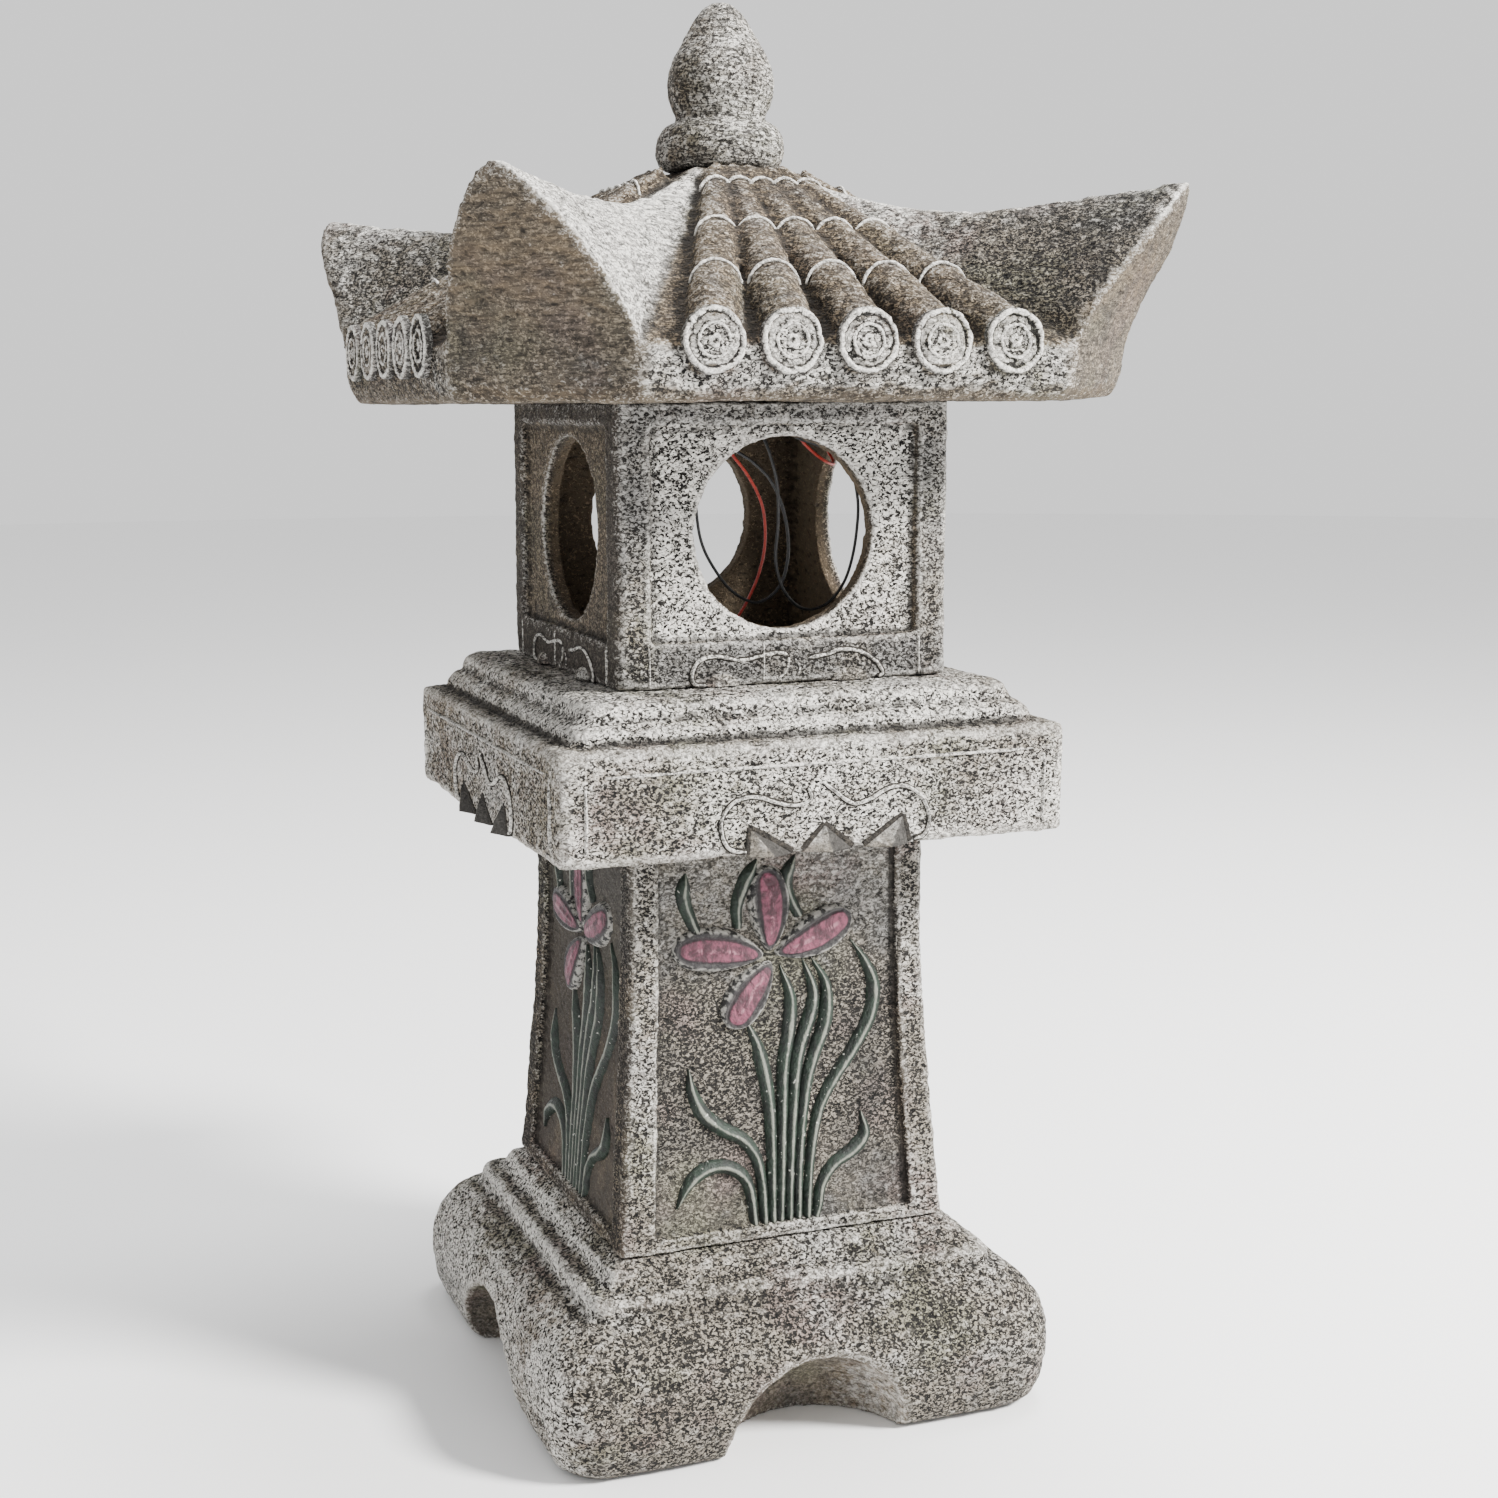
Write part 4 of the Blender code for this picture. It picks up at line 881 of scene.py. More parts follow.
def strip(bm, route, half, height, out_to, section=crest_section, across=8, rim_at=plain_rim):
    """A closed raised band along a route on a face, its foot sunk below the face.

    half and height take the share of the way along; out_to(up) is the face's distance from the axis."""
    rim = bm.verts.layers.float.get("rim") or bm.verts.layers.float.new("rim")
    rows = []
    for i, middle in enumerate(route):
        share = i / (len(route) - 1)
        along = (route[min(i + 1, len(route) - 1)] - route[max(i - 1, 0)]).normalized()
        side = Vector((-along.y, along.x))
        row = []
        for j in range(across + 1):
            u = 2 * j / across - 1
            spot = middle + side * (u * half(share))
            edge = rim_at(u, share)
            row.append((spot, height(share) * section(edge), edge))
        row += [(row[-1][0], -FOOT, 1.0), (row[0][0], -FOOT, 1.0)]
        made = []
        for spot, up, edge in row:
            vert = bm.verts.new((spot.x, -out_to(spot.y) - up, spot.y))
            vert[rim] = edge
            made.append(vert)
        rows.append(made)
    join_rows(bm, rows)


def turn_new(bm, start, turn):
    """Turns the points made since there were start of them about the lantern's axis."""
    bm.verts.ensure_lookup_table()
    bmesh.ops.rotate(bm, verts=bm.verts[start:], matrix=Matrix.Rotation(turn, 3, "Z"))


def around(name, bm, mat):
    """One object with four copies of a relief, one on each side."""
    mesh = bpy.data.meshes.new("one side")
    bmesh.ops.recalc_face_normals(bm, faces=bm.faces)
    bm.to_mesh(mesh)
    bm.free()
    whole = bmesh.new()
    for turn in QUARTERS:
        start = len(whole.verts)
        whole.from_mesh(mesh)
        turn_new(whole, start, turn)
    bpy.data.meshes.remove(mesh)
    return place(name, whole, mat, smooth=True)


def rough_up(thing, seed, amount, scale=420):
    """Small worn dents over a relief."""
    co, normals = arrays(thing.data)
    co += normals * (amount * lumps(co, scale, 2, seed))[:, None]
    thing.data.vertices.foreach_set("co", co.astype(np.float32).ravel())
    thing.data.update()


def bead(bm, points, out_to, half=0.00065, height=0.00075, count=40):
    """A thin raised line of plaster that fades out at its ends."""

    def fade(share):
        return min(1.0, 12 * share + 0.25, 12 * (1 - share) + 0.25)

    def wide(share):
        return half * (0.55 + 0.45 * fade(share))

    strip(bm, curve_through(points, count), wide, lambda share: height * fade(share), out_to, across=6)


def groove_shadow_strips(name, routes, out_to, mat, half=0.0011):
    """A thin dark strip, just proud of the face, along each route: painted shadow of the hollow that a
    scroll's bead lies in.
    """
    bm = bmesh.new()
    for route in routes:
        strip(bm, curve_through(route, 60), lambda share: half, lambda share: 0.00025, out_to, across=4)
    dark = around(name, bm, mat)
    # Unlimed, brown, with soot, and marked as a deep hollow so that the stone shader darkens it: painted
    # shadow.
    limed(dark, lime_and_light=-0.4, brown_and_shade=0.4, soot_and_shade=0.3, edge=0.9)
    return dark


def scrolls(name, seed, mat, out_to, curls, curl_height, lines, line_half, line_height):
    """The curls and the thinner lines raised on each side of a casting."""
    bm = bmesh.new()
    for route in curls:
        bead(bm, route, out_to, height=curl_height, count=60)
    for route in lines:
        bead(bm, route, out_to, half=line_half, height=line_height)
    raised = around(name, bm, mat)
    rough_up(raised, seed, 0.00022, 600)
    limed(raised)
    return raised


def limed(thing, lime_and_light=0.80, brown_and_shade=0.20, soot_and_shade=0.0, edge=-0.40, calm=0.3):
    """The even staining of a relief that wears the casting's own stone; for a groove strip it is painted
    shadow.
    """
    count = len(thing.data.vertices)
    values = {"lime_and_light": lime_and_light, "brown_and_shade": brown_and_shade, "soot_and_shade": soot_and_shade, "calm": calm, "broad": edge, "fine": 0.0}
    for name, value in values.items():
        write_attribute(thing.data, name, np.full(count, value))


# ---- base ----
BASE_PROFILE = tenths([
    (875, 0, 140), (915, 30, 160), (945, 100, 180), (958, 200, 190), (955, 300, 190), (932, 380, 180),
    (885, 445, 160), (820, 492, 120), (775, 503, 90), (762, 520, 70), (766, 545, 70), (745, 572, 60),
    (695, 582, 50), (685, 605, 50), (668, 635, 40), (635, 650, 30), (620, 660, 30),
])  # half width, height, corner radius
BASE_TOP = BASE_PROFILE[-1][1]
SCOOP_RADIUS = 0.034
SCOOP_AT = 0.0955


def make_base(mat):
    """A cushion-shaped block with two mouldings above and a rounded notch in each side."""
    rings = [square_ring(half, z, corner, 8) for half, z, corner in BASE_PROFILE]
    base = place("base_stone", loft(rings), mat)
    for turn in QUARTERS:
        cut(base, ball(SCOOP_RADIUS, Matrix.Rotation(turn, 3, "Z") @ Vector((0, -SCOOP_AT, 0))))
    remesh(base, voxel=0.00122, soften=3)

    def keep(co):
        return np.clip(co[:, 2] / 0.004, 0, 1) * np.clip((BASE_TOP + 0.001 - co[:, 2]) / 0.003, 0, 1)

    def looks(co, normals):
        lime_and_light, brown_and_shade, soot_and_shade, calm = plain_looks(co, normals)
        near, out = near_and_out(co)
        away = np.hypot(np.hypot(near, co[:, 2]), BASE_PROFILE[3][0] - out)
        scoop = ramp(away, SCOOP_RADIUS + 0.0018, SCOOP_RADIUS + 0.0008)
        ledge = ramp(co[:, 2], 0.047, 0.051)
        # More lime on the left side: painted light, lifting the side that the key light leaves in shade.
        lime_and_light = lime_and_light - 0.14 * scoop + 0.10 * ledge - 0.10 + 0.60 * ramp(-normals[:, 0], 0.3, 0.9)
        return lime_and_light, brown_and_shade + 0.15 * scoop, soot_and_shade + 0.10 * ramp(co[:, 2], 0.03, 0.0), calm + 0.7 * scoop

    weather(base, 1, rough=0.00036, sway=0.0007, keep=keep, looks=looks)
    return base


# ---- post ----
POST_PROFILE = tenths([
    (666, 626, 495), (730, 620, 493), (830, 613, 488), (940, 606, 483), (1050, 597, 478), (1170, 589, 472),
    (1310, 578, 465), (1460, 571, 460), (1650, 562, 455), (1850, 559, 450), (2127, 560, 450),
])  # height, half width, half width of the sunk panel
PANEL_LOW = 0.0715
PANEL_HIGH = 0.2075
PANEL_DEEP = 0.0032


def post_at(z):
    """The post's half width and its panel's half width at a height."""
    table = np.array(POST_PROFILE)
    return float(np.interp(z, table[:, 0], table[:, 1])), float(np.interp(z, table[:, 0], table[:, 2]))


def make_post(mat):
    rings = [square_ring(half, z, 0.0025, 3) for z, half, _ in POST_PROFILE]
    post = place("post_stone", loft(rings), mat)
    outlines = []
    for z in [PANEL_LOW, *(row[0] for row in POST_PROFILE[2:-1]), PANEL_HIGH]:
        half, panel = post_at(z)
        near, far = half - PANEL_DEEP, half + 0.01
        corners = ((-panel, near), (panel, near), (panel, far), (-panel, far))
        outlines.append([Vector((x, -y, z)) for x, y in corners])
    for turn in QUARTERS:
        panel = loft(outlines)
        panel.transform(Matrix.Rotation(turn, 4, "Z"))
        cut(post, panel)
    remesh(post, voxel=0.00100, soften=2)

    def looks(co, normals):
        lime_and_light, brown_and_shade, soot_and_shade, calm = plain_looks(co, normals)
        level = np.interp(co[:, 2], [row[0] for row in POST_PROFILE], [row[1] for row in POST_PROFILE])
        panel = ramp(level - near_and_out(co)[1], PANEL_DEEP * 0.5, PANEL_DEEP * 0.8)
        # left: the faces turned to -X get less lime, more soot and a smoother skin: painted shadow of the
        # slab's overhang, with dirt.
        left = ramp(-normals[:, 0], 0.3, 0.8)
        middle = ramp(abs(co[:, 2] - 0.135), 0.045, 0.02)
        top = ramp(co[:, 2], 0.150, 0.185)
        lime_and_light = lime_and_light - panel * (0.10 + 0.12 * middle - 0.16 * top) - 0.26 * left - 0.12 * left * panel
        calm = 0.35 * panel * ramp(co[:, 2], 0.105, 0.085) + 0.45 * panel * top + 0.6 * left * panel
        soot_and_shade = soot_and_shade + 0.16 * panel * (1 - left) + (0.20 + 0.12 * panel) * left
        return lime_and_light, brown_and_shade * (1 - 0.5 * top), soot_and_shade, np.clip(calm, 0, 0.7)

    weather(post, 2, rough=0.00034, sway=0.0004, looks=looks)
    return post


PETALS = tenths([
    ((-31, 1695), (-45, 1980)), ((-52, 1684), (-368, 1727)), ((-6, 1684), (262, 1802)),
    ((-22, 1655), (-174, 1450)),
])  # from the flower's middle to each tip, across and up
PETAL_HALF = 0.0080
PETAL_WIDEST = 0.58
PETAL_OVER = 1.09
PETAL_RISE = 0.0042
LEAVES = tenths([
    [(-345, 2001), (-352, 1920), (-328, 1840), (-295, 1770)],
    [(-77, 2030), (-123, 1950), (-151, 1868), (-150, 1790)],
    [(68, 2035), (34, 1950), (48, 1886), (85, 1815)],
    [(283, 1712), (346, 1619), (376, 1527), (358, 1422), (294, 1312), (225, 1223), (165, 1132), (134, 1038),
     (111, 908), (96, 712)],
    [(130, 1660), (185, 1560), (186, 1431), (141, 1312), (110, 1218), (88, 1088), (69, 913), (60, 712)],
    [(95, 1660), (135, 1551), (129, 1464), (85, 1345), (64, 1241), (50, 1093), (36, 918), (26, 712)],
    [(10, 1640), (48, 1525), (41, 1402), (19, 1273), (12, 1141), (2, 922), (-8, 712)],
    [(-130, 1470), (-83, 1363), (-58, 1264), (-42, 1166), (-35, 1059), (-36, 882), (-38, 712)],
    [(-343, 1302), (-331, 1217), (-292, 1134), (-221, 1073), (-148, 1029), (-98, 961), (-76, 860), (-70, 712)],
    [(-402, 808), (-355, 890), (-290, 934), (-216, 937), (-152, 898), (-121, 832), (-108, 712)],
    [(315, 1075), (330, 996), (285, 939), (207, 895), (157, 830), (141, 752), (128, 712)],
])  # each from its tip down to its foot
LEAF_HALF = 0.0034
LEAF_RISE = 0.0028


def panel_out(z):
    return post_at(z)[0] - PANEL_DEEP


def leaf_half(share):
    """Half the width of a leaf: pointed at its tip, full a third of the way down and slim at its foot."""
    return LEAF_HALF * (0.08 + 0.92 * math.sin(math.pi / 2 * min(share / 0.32, 1.0))) * (1 - 0.46 * share)


def petal_half(share):
    """Half the width of a petal: pointed at the flower's middle and round at its outer end."""
    if share < PETAL_WIDEST:
        return PETAL_HALF * (0.10 + 0.90 * math.sin(math.pi / 2 * share / PETAL_WIDEST) ** 0.85)
    return PETAL_HALF * max(1 - ((share - PETAL_WIDEST) / (1 - PETAL_WIDEST)) ** 2.4, 0.03) ** 0.5


def leaf_rise(share):
    return LEAF_RISE * min(1.0, 0.35 + 4 * share) * (1 - 0.2 * share)


def petal_rise(share):
    return PETAL_RISE * (0.30 + 0.70 * math.sin(math.pi * min(share, 0.93)) ** 0.5)


def make_flowers(petal_paint, leaf_paint):
    """The painted flower on each of the post's panels: eleven leaves behind four dished petals."""
    bm = bmesh.new()
    for leaf in LEAVES:
        strip(bm, curve_through(leaf, 12 * len(leaf)), leaf_half, leaf_rise, panel_out, across=8)
    leaves = around("flower_leaves", bm, leaf_paint)
    rough_up(leaves, 11, 0.00012, 240)
    bm = bmesh.new()
    for base, tip in PETALS:
        base = Vector(base)
        tip = base.lerp(Vector(tip), PETAL_OVER)
        bow = Vector((tip.y - base.y, base.x - tip.x)) * 0.03
        route = curve_through([base, base.lerp(tip, 0.5) + bow, tip], 30)
        strip(bm, route, petal_half, petal_rise, panel_out, petal_section, 28, petal_rim)
    petals = around("flower_petals", bm, petal_paint)
    rough_up(petals, 12, 0.00012, 300)
    return petals, leaves


# ---- slab ----
SLAB_HALF = 0.0920
SLAB_PROFILE = tenths([
    (908, 2134, 30), (920, 2148, 40), (920, 2492, 40), (912, 2506, 40), (893, 2513, 40), (846, 2514, 40),
    (838, 2520, 50), (843, 2540, 60), (836, 2562, 70), (814, 2578, 70), (796, 2582, 70), (791, 2590, 70),
    (792, 2614, 80), (780, 2636, 80), (755, 2649, 70), (700, 2656, 50),
])  # half width, height, corner radius
SLAB_PETALS = tenths([
    (-270, -110, -262, 2226), (-75, 108, 5, 2222), (150, 318, 292, 2234),
])  # left and right at the foot, then the tip, across and up
SLAB_PETAL_PROUD = 0.0034


def make_slab(mat):
    rings = [square_ring(half, z, corner, 6) for half, z, corner in SLAB_PROFILE]
    slab = place("slab_stone", loft(rings), mat)
    remesh(slab, voxel=0.00118, soften=2)

    def looks(co, normals):
        lime_and_light, brown_and_shade, soot_and_shade, calm = plain_looks(co, normals)
        # The front gets more lime and less soot, and the left more lime: painted light on the front, and
        # painted light lifting the shaded left side.
        front = ramp(-normals[:, 1], 0.4, 0.9)
        ledge = ramp(co[:, 2], 0.2520, 0.2540)
        left = ramp(-normals[:, 0], 0.3, 0.9)
        return lime_and_light + 0.12 * front + 0.14 * ledge + 0.26 * left, brown_and_shade, soot_and_shade - 0.12 * front, calm

    weather(slab, 3, rough=0.00036, sway=0.0006, looks=looks)
    return slab


def make_slab_petals(mat):
    """Three pointed petals with two slanting facets, proud of each side's lower edge; the facets that lean
    right are painted darker as shade.
    """
    low = SLAB_PROFILE[0][1]
    bm = bmesh.new()
    for left, right, across, up in SLAB_PETALS:
        rows = []
        for i in range(17):
            share = i / 17
            middle = 0.5 * (left + right) * (1 - share) + across * share
            half = (right - left) / 2 * (1 - share)
            z = low + (up - low) * share
            proud = SLAB_PETAL_PROUD * (1 - share) ** 0.7 + 0.0003
            turns = [-1 + j / 8 for j in range(17)]
            row = [(middle + u * half, -slab_face(z) - proud * (1 - abs(u)), z) for u in turns]
            row += [(middle + u * half, -slab_face(z) + FOOT, z) for u in (1, -1)]
            rows.append([bm.verts.new(spot) for spot in row])
        join_rows(bm, rows)
    petals = around("slab_petals", bm, mat)
    rough_up(petals, 17, 0.00015, 260)
    mesh = petals.data
    co, normals = arrays(mesh)
    limed(petals, edge=0.0, calm=0.75)
    # Painted shade on the facets that lean right: less lime, more soot and marked as hollow; the left facets
    # stay lighter.
    shade = ramp(rightward(co, normals), -0.02, 0.16)
    foot = ramp(co[:, 2], low + 0.004, low)
    facet_shade = {"lime_and_light": 0.42 - 0.62 * shade - 0.15 * foot, "soot_and_shade": 0.30 + 0.75 * shade, "fine": 0.60 * shade}
    for name, values in facet_shade.items():
        mesh.attributes[name].data.foreach_set("value", values.astype(np.float32))
    return petals


SLAB_SCROLLS = tenths([
    [(-278, 2150), (-337, 2165), (-364, 2222), (-360, 2277), (-314, 2323), (-243, 2333), (-173, 2310),
     (-101, 2294), (-46, 2312), (-55, 2352)],
    [(-6, 2369), (43, 2332), (104, 2288), (165, 2295), (232, 2327), (299, 2333), (362, 2292), (391, 2222),
     (377, 2166), (335, 2148)],
])
SLAB_LINES = tenths([
    [(-760, 2428), (-300, 2431), (250, 2429), (790, 2430)],
    [(-830, 2400), (-828, 2290), (-831, 2180)],
    [(830, 2410), (831, 2300), (829, 2190)],
])


def petal_outlines():
    """The edges that the slab's petals meet the slab along, as routes of (across, up)."""
    low = SLAB_PROFILE[0][1] + 0.0008
    edges = []
    for left, right, across, up in SLAB_PETALS:
        edges += [[(left, low), (across, up + 0.0004)], [(across, up + 0.0004), (right, low)]]
    return edges


def slab_face(z):
    return SLAB_HALF + 0.0002


# ---- light box ----
BOX_LOW = 0.2659
BOX_TOP = 0.3609
BOX_HALF = 0.0612
BOX_INNER = 0.0517
FACE_HALF = 0.049
FACE_LOW = 0.281
FACE_HIGH = 0.3535
FACE_DEEP = 0.0027
WINDOW_Z = 0.317
WINDOW_RADIUS = 0.0325


def make_light_box(mat):
    rings = [
        square_ring(BOX_HALF, BOX_LOW, 0.003, 3),
        square_ring(BOX_HALF, BOX_TOP, 0.003, 3),
        square_ring(BOX_INNER, BOX_TOP, 0.003, 3),
        square_ring(BOX_INNER, BOX_LOW, 0.003, 3),
    ]
    light_box = place("light_box_stone", loft(rings, closed=True), mat)
    for turn in QUARTERS:
        panel = box((-FACE_HALF, -BOX_HALF - 0.01, FACE_LOW), (FACE_HALF, -BOX_HALF + FACE_DEEP, FACE_HIGH))
        panel.transform(Matrix.Rotation(turn, 4, "Z"))
        cut(light_box, panel)
    for end in (Vector((0.08, 0, 0)), Vector((0, 0.08, 0))):
        middle = Vector((0, 0, WINDOW_Z))
        cut(light_box, rod(WINDOW_RADIUS, middle - end, middle + end, steps=64))
    remesh(light_box, voxel=0.00108, soften=2)

    def looks(co, normals):
        lime_and_light, brown_and_shade, soot_and_shade, calm = plain_looks(co, normals)
        out = near_and_out(co)[1]
        inside = ramp(out, BOX_HALF - 0.0035, BOX_HALF - 0.0065)
        frame_part = ramp(out, BOX_HALF - 0.0018, BOX_HALF - 0.0008)
        low = ramp(co[:, 2], 0.2810, 0.2790)
        # left and front: painted shade on the faces turned to -X, with less lime, more soot and a smoother
        # skin, and painted light on the front, with more lime.
        left = ramp(-normals[:, 0], 0.3, 0.8)
        front = ramp(-normals[:, 1], 0.4, 0.9)
        lime_and_light = lime_and_light + front * (0.30 - 0.18 * frame_part) - 0.16 * left
        soot_and_shade = soot_and_shade + frame_part * (0.22 + 0.10 * low) + 0.12 * left
        lime_and_light, brown_and_shade = lime_and_light * (1 - inside) - 0.7 * inside, brown_and_shade * (1 - inside) + inside
        return lime_and_light, brown_and_shade, soot_and_shade * (1 - inside), 0.35 * left + 0.5 * inside

    weather(light_box, 4, rough=0.00034, sway=0.0003, looks=looks)
    return light_box


BOX_SCROLLS = tenths([
    [(-296, 2665), (-340, 2672), (-347, 2712), (-317, 2752), (-257, 2762), (-173, 2745), (-94, 2757),
     (-32, 2765), (8, 2753)],
    [(78, 2742), (145, 2751), (203, 2765), (273, 2756), (332, 2721), (362, 2680), (345, 2662)],
])
BOX_LINES = tenths([
    [(-86, 2672), (-85, 2730), (-87, 2795)],
    [(8, 2747), (-1, 2705), (-34, 2670)],
    [(30, 2740), (46, 2712), (40, 2685)],
    [(-500, 2668), (-499, 2735), (-501, 2800)],
    [(500, 2668), (501, 2735), (499, 2800)],
])
BOX_BUMPS = tenths([
    (-240, 62), (238, 68),
])  # across and half width
BOSS_TALL = 0.0042


def box_face(z):
    return BOX_HALF + 0.0001


def make_box_bosses(mat):
    """Two low bosses at the foot of each apron."""
    bm = bmesh.new()
    for across, half in BOX_BUMPS:
        dome = lambda share: half * max(1 - share**2.2, 0.02) ** 0.5
        route = curve_through([(across, BOX_LOW + 0.0002), (across, BOX_LOW + BOSS_TALL)], 14)
        strip(bm, route, dome, lambda share: 0.0022 * max(1 - share**3, 0.05), box_face, across=16)
    bosses = around("light_box_bosses", bm, mat)
    rough_up(bosses, 16, 0.00022, 500)
    limed(bosses, lime_and_light=0.45, brown_and_shade=0.2, soot_and_shade=0.3, edge=0.0)
    return bosses


# ---- roof ----
EAVE_LOW = 0.3613
EAVE_TOP = 0.379
EAVE_HALF = 0.122
BAY_HALF = 0.074
BAY_APEX_HALF = 0.013
APEX_HALF = 0.0165
APEX_Z = 0.4417
HORN_Z = 0.4315
HORN_REACH = 0.166
CREST_LOW_Z = 0.4245
CREST_LOW_AT = 0.52
CAVITY_HALF = 0.042
CAVITY_TOP = 0.402
RIM_OUTER = 0.0503
RIM_LOW = 0.3555
TILE_COUNT = 5
TILE_PITCH = 0.0254
TILE_TOP_PITCH = 0.0058
TILE_RADIUS = 0.0102
TILE_TOP_RADIUS = 0.0056
TILE_OUT = 0.1238
TILE_IN = 0.026


def shield_half_width(k):
    """Half the width of a horn's outer face, k from 0 at the eave to 1 at the tip."""
    return (EAVE_HALF - BAY_HALF) / math.sqrt(2) * max(1 - k**1.25, 0.0) ** 0.66


def shield_reach(k):
    """How far a horn's outer face lies from the axis, along the diagonal."""
    low = (EAVE_HALF + BAY_HALF) / math.sqrt(2)
    return low + (HORN_REACH - low) * (0.5 * k + 0.5 * k * k * (3 - 2 * k))


def crest_z(t):
    """Height of a ridge from the apex, t = 0, to the horn's tip, t = 1."""
    if t < CREST_LOW_AT:
        return CREST_LOW_Z + (APEX_Z - CREST_LOW_Z) * ((CREST_LOW_AT - t) / CREST_LOW_AT) ** 2.2
    return CREST_LOW_Z + (HORN_Z - CREST_LOW_Z) * ((t - CREST_LOW_AT) / (1 - CREST_LOW_AT)) ** 1.3


def bed_z(t):
    return APEX_Z + (EAVE_TOP - APEX_Z) * t


def roof_point(across, t):
    """A point of the front side's upper surface: across from -1 at one ridge to 1 at the other,
    with the tiled bay between -0.5 and 0.5, and t from the apex to the outer edge."""
    side = -1 if across < 0 else 1
    in_bay = min(abs(across), 0.5) / 0.5
    k = max(abs(across) - 0.5, 0.0) / 0.5
    if k:
        width, reach = shield_half_width(k), shield_reach(k)
        edge = Vector(((reach - width) / math.sqrt(2), (reach + width) / math.sqrt(2)))
    else:
        edge = Vector((BAY_HALF * in_bay, EAVE_HALF))
    apex = Vector((BAY_APEX_HALF * in_bay + (APEX_HALF - BAY_APEX_HALF) * k, APEX_HALF))
    plan = apex.lerp(edge, t)
    share = k ** (1 + 0.7 * (1 - t))
    z = bed_z(t) + (crest_z(t) - bed_z(t)) * share
    return Vector((side * plan.x, -plan.y, z))


def horn_point(v, k):
    """A point of the front right horn's outer face, v from -1 on the front edge to 1."""
    width, reach = shield_half_width(k), shield_reach(k)
    out = reach + 0.003 * (1 - v * v) * width / shield_half_width(0)
    z = EAVE_TOP + (HORN_Z - EAVE_TOP) * k
    plan = Vector((1, -1)).normalized() * out + Vector((1, 1)).normalized() * (v * width)
    return Vector((plan.x, plan.y, z))


def roof_body():
    """The closed roof casting without its tiles: four sides, four horns and a flat underside."""
    bays = [0.5 + 0.5 * (i / 14) ** 0.9 for i in range(15)]
    bays = [-b for b in reversed(bays)] + bays
    runs = [i / 22 for i in range(23)]
    vs = [-1 + 2 * i / 10 for i in range(11)]
    ledges = [(EAVE_TOP, 1.0), (0.3725, 0.996), (0.3665, 0.986), (0.3630, 0.972), (EAVE_LOW, 0.958)]
    faces = []
    for a, b in zip(bays, bays[1:]):
        for s, t in zip(runs, runs[1:]):
            faces.append([roof_point(a, s), roof_point(a, t), roof_point(b, t), roof_point(b, s)])
    ks = [2 * b - 1 for b in bays if b >= 0.5]
    for low, high in zip(ks, ks[1:]):
        for v, w in zip(vs, vs[1:]):
            faces.append([horn_point(v, low), horn_point(w, low), horn_point(w, high), horn_point(v, high)])
    rim = [roof_point(-0.5, 1), roof_point(0.5, 1)] + [horn_point(v, 0) for v in vs[1:]]
    for (z0, s0), (z1, s1) in zip(ledges, ledges[1:]):
        for p, q in zip(rim, rim[1:]):
            corners = ((p, s0, z0), (q, s0, z0), (q, s1, z1), (p, s1, z1))
            faces.append([Vector((r.x * s, r.y * s, z)) for r, s, z in corners])
    centre_top, centre_low = Vector((0, 0, APEX_Z)), Vector((0, 0, EAVE_LOW))
    faces += [[roof_point(a, 0), roof_point(b, 0), centre_top] for a, b in zip(bays, bays[1:])]
    for p, q in zip(rim, rim[1:]):
        low = [Vector((r.x * ledges[-1][1], r.y * ledges[-1][1], EAVE_LOW)) for r in (p, q)]
        faces.append([*low, centre_low])
    bm = bmesh.new()
    for turn in QUARTERS:
        spin = Matrix.Rotation(turn, 3, "Z")
        for face in faces:
            bm.faces.new([bm.verts.new(spin @ p) for p in face])
    bmesh.ops.remove_doubles(bm, verts=bm.verts, dist=1e-6)
    bmesh.ops.dissolve_degenerate(bm, edges=bm.edges, dist=1e-6)
    return bm


def tile_axis(lane, out):
    """A point on the middle of a roll of tiles, and the roll's radius there."""
    share = (out - TILE_IN) / (TILE_OUT - TILE_IN)
    pitch = TILE_TOP_PITCH + (TILE_PITCH - TILE_TOP_PITCH) * share
    radius = TILE_TOP_RADIUS + (TILE_RADIUS - TILE_TOP_RADIUS) * share
    t = (out - APEX_HALF) / (EAVE_HALF - APEX_HALF)
    return Vector((lane * pitch, -out, bed_z(t) + 0.0015)), radius


def tile_lanes(side):
    """The rolls' places across a side: five, but only the outer two beside the solar panel."""
    lanes = [i - (TILE_COUNT - 1) / 2 for i in range(TILE_COUNT)]
    return [lane for lane in lanes if side != 2 or abs(lane) == 2]


TILE_ROWS = 3.45
TILE_STEP = 0.0012
LIP_RADIUS = 0.00052


def tile_fall(out):
    """How far a tile has thinned at a place on its roll, from 0 at its lower lip."""
    rows = (TILE_OUT - out) / (TILE_OUT - TILE_IN) * TILE_ROWS
    return rows - math.floor(rows)


def tile_roll(lane):
    """A roll of round tiles, each slipped under the lip of the one above."""
    outs = [TILE_OUT + (TILE_IN - TILE_OUT) * i / 88 for i in range(89)]
    rings = []
    for out in outs:
        middle, radius = tile_axis(lane, out)
        radius -= TILE_STEP * (1 - tile_fall(out))
        turns = [2 * math.pi * (j + 0.5) / 28 for j in range(28)]
        rings.append([middle + radius * Vector((math.cos(a), 0, math.sin(a))) for a in turns])
    return loft(rings)


def tile_joints():
    """Where the tiles' lips are, as distances from the axis."""
    return [TILE_OUT - (TILE_OUT - TILE_IN) * row / TILE_ROWS for row in range(1, int(TILE_ROWS) + 1)]


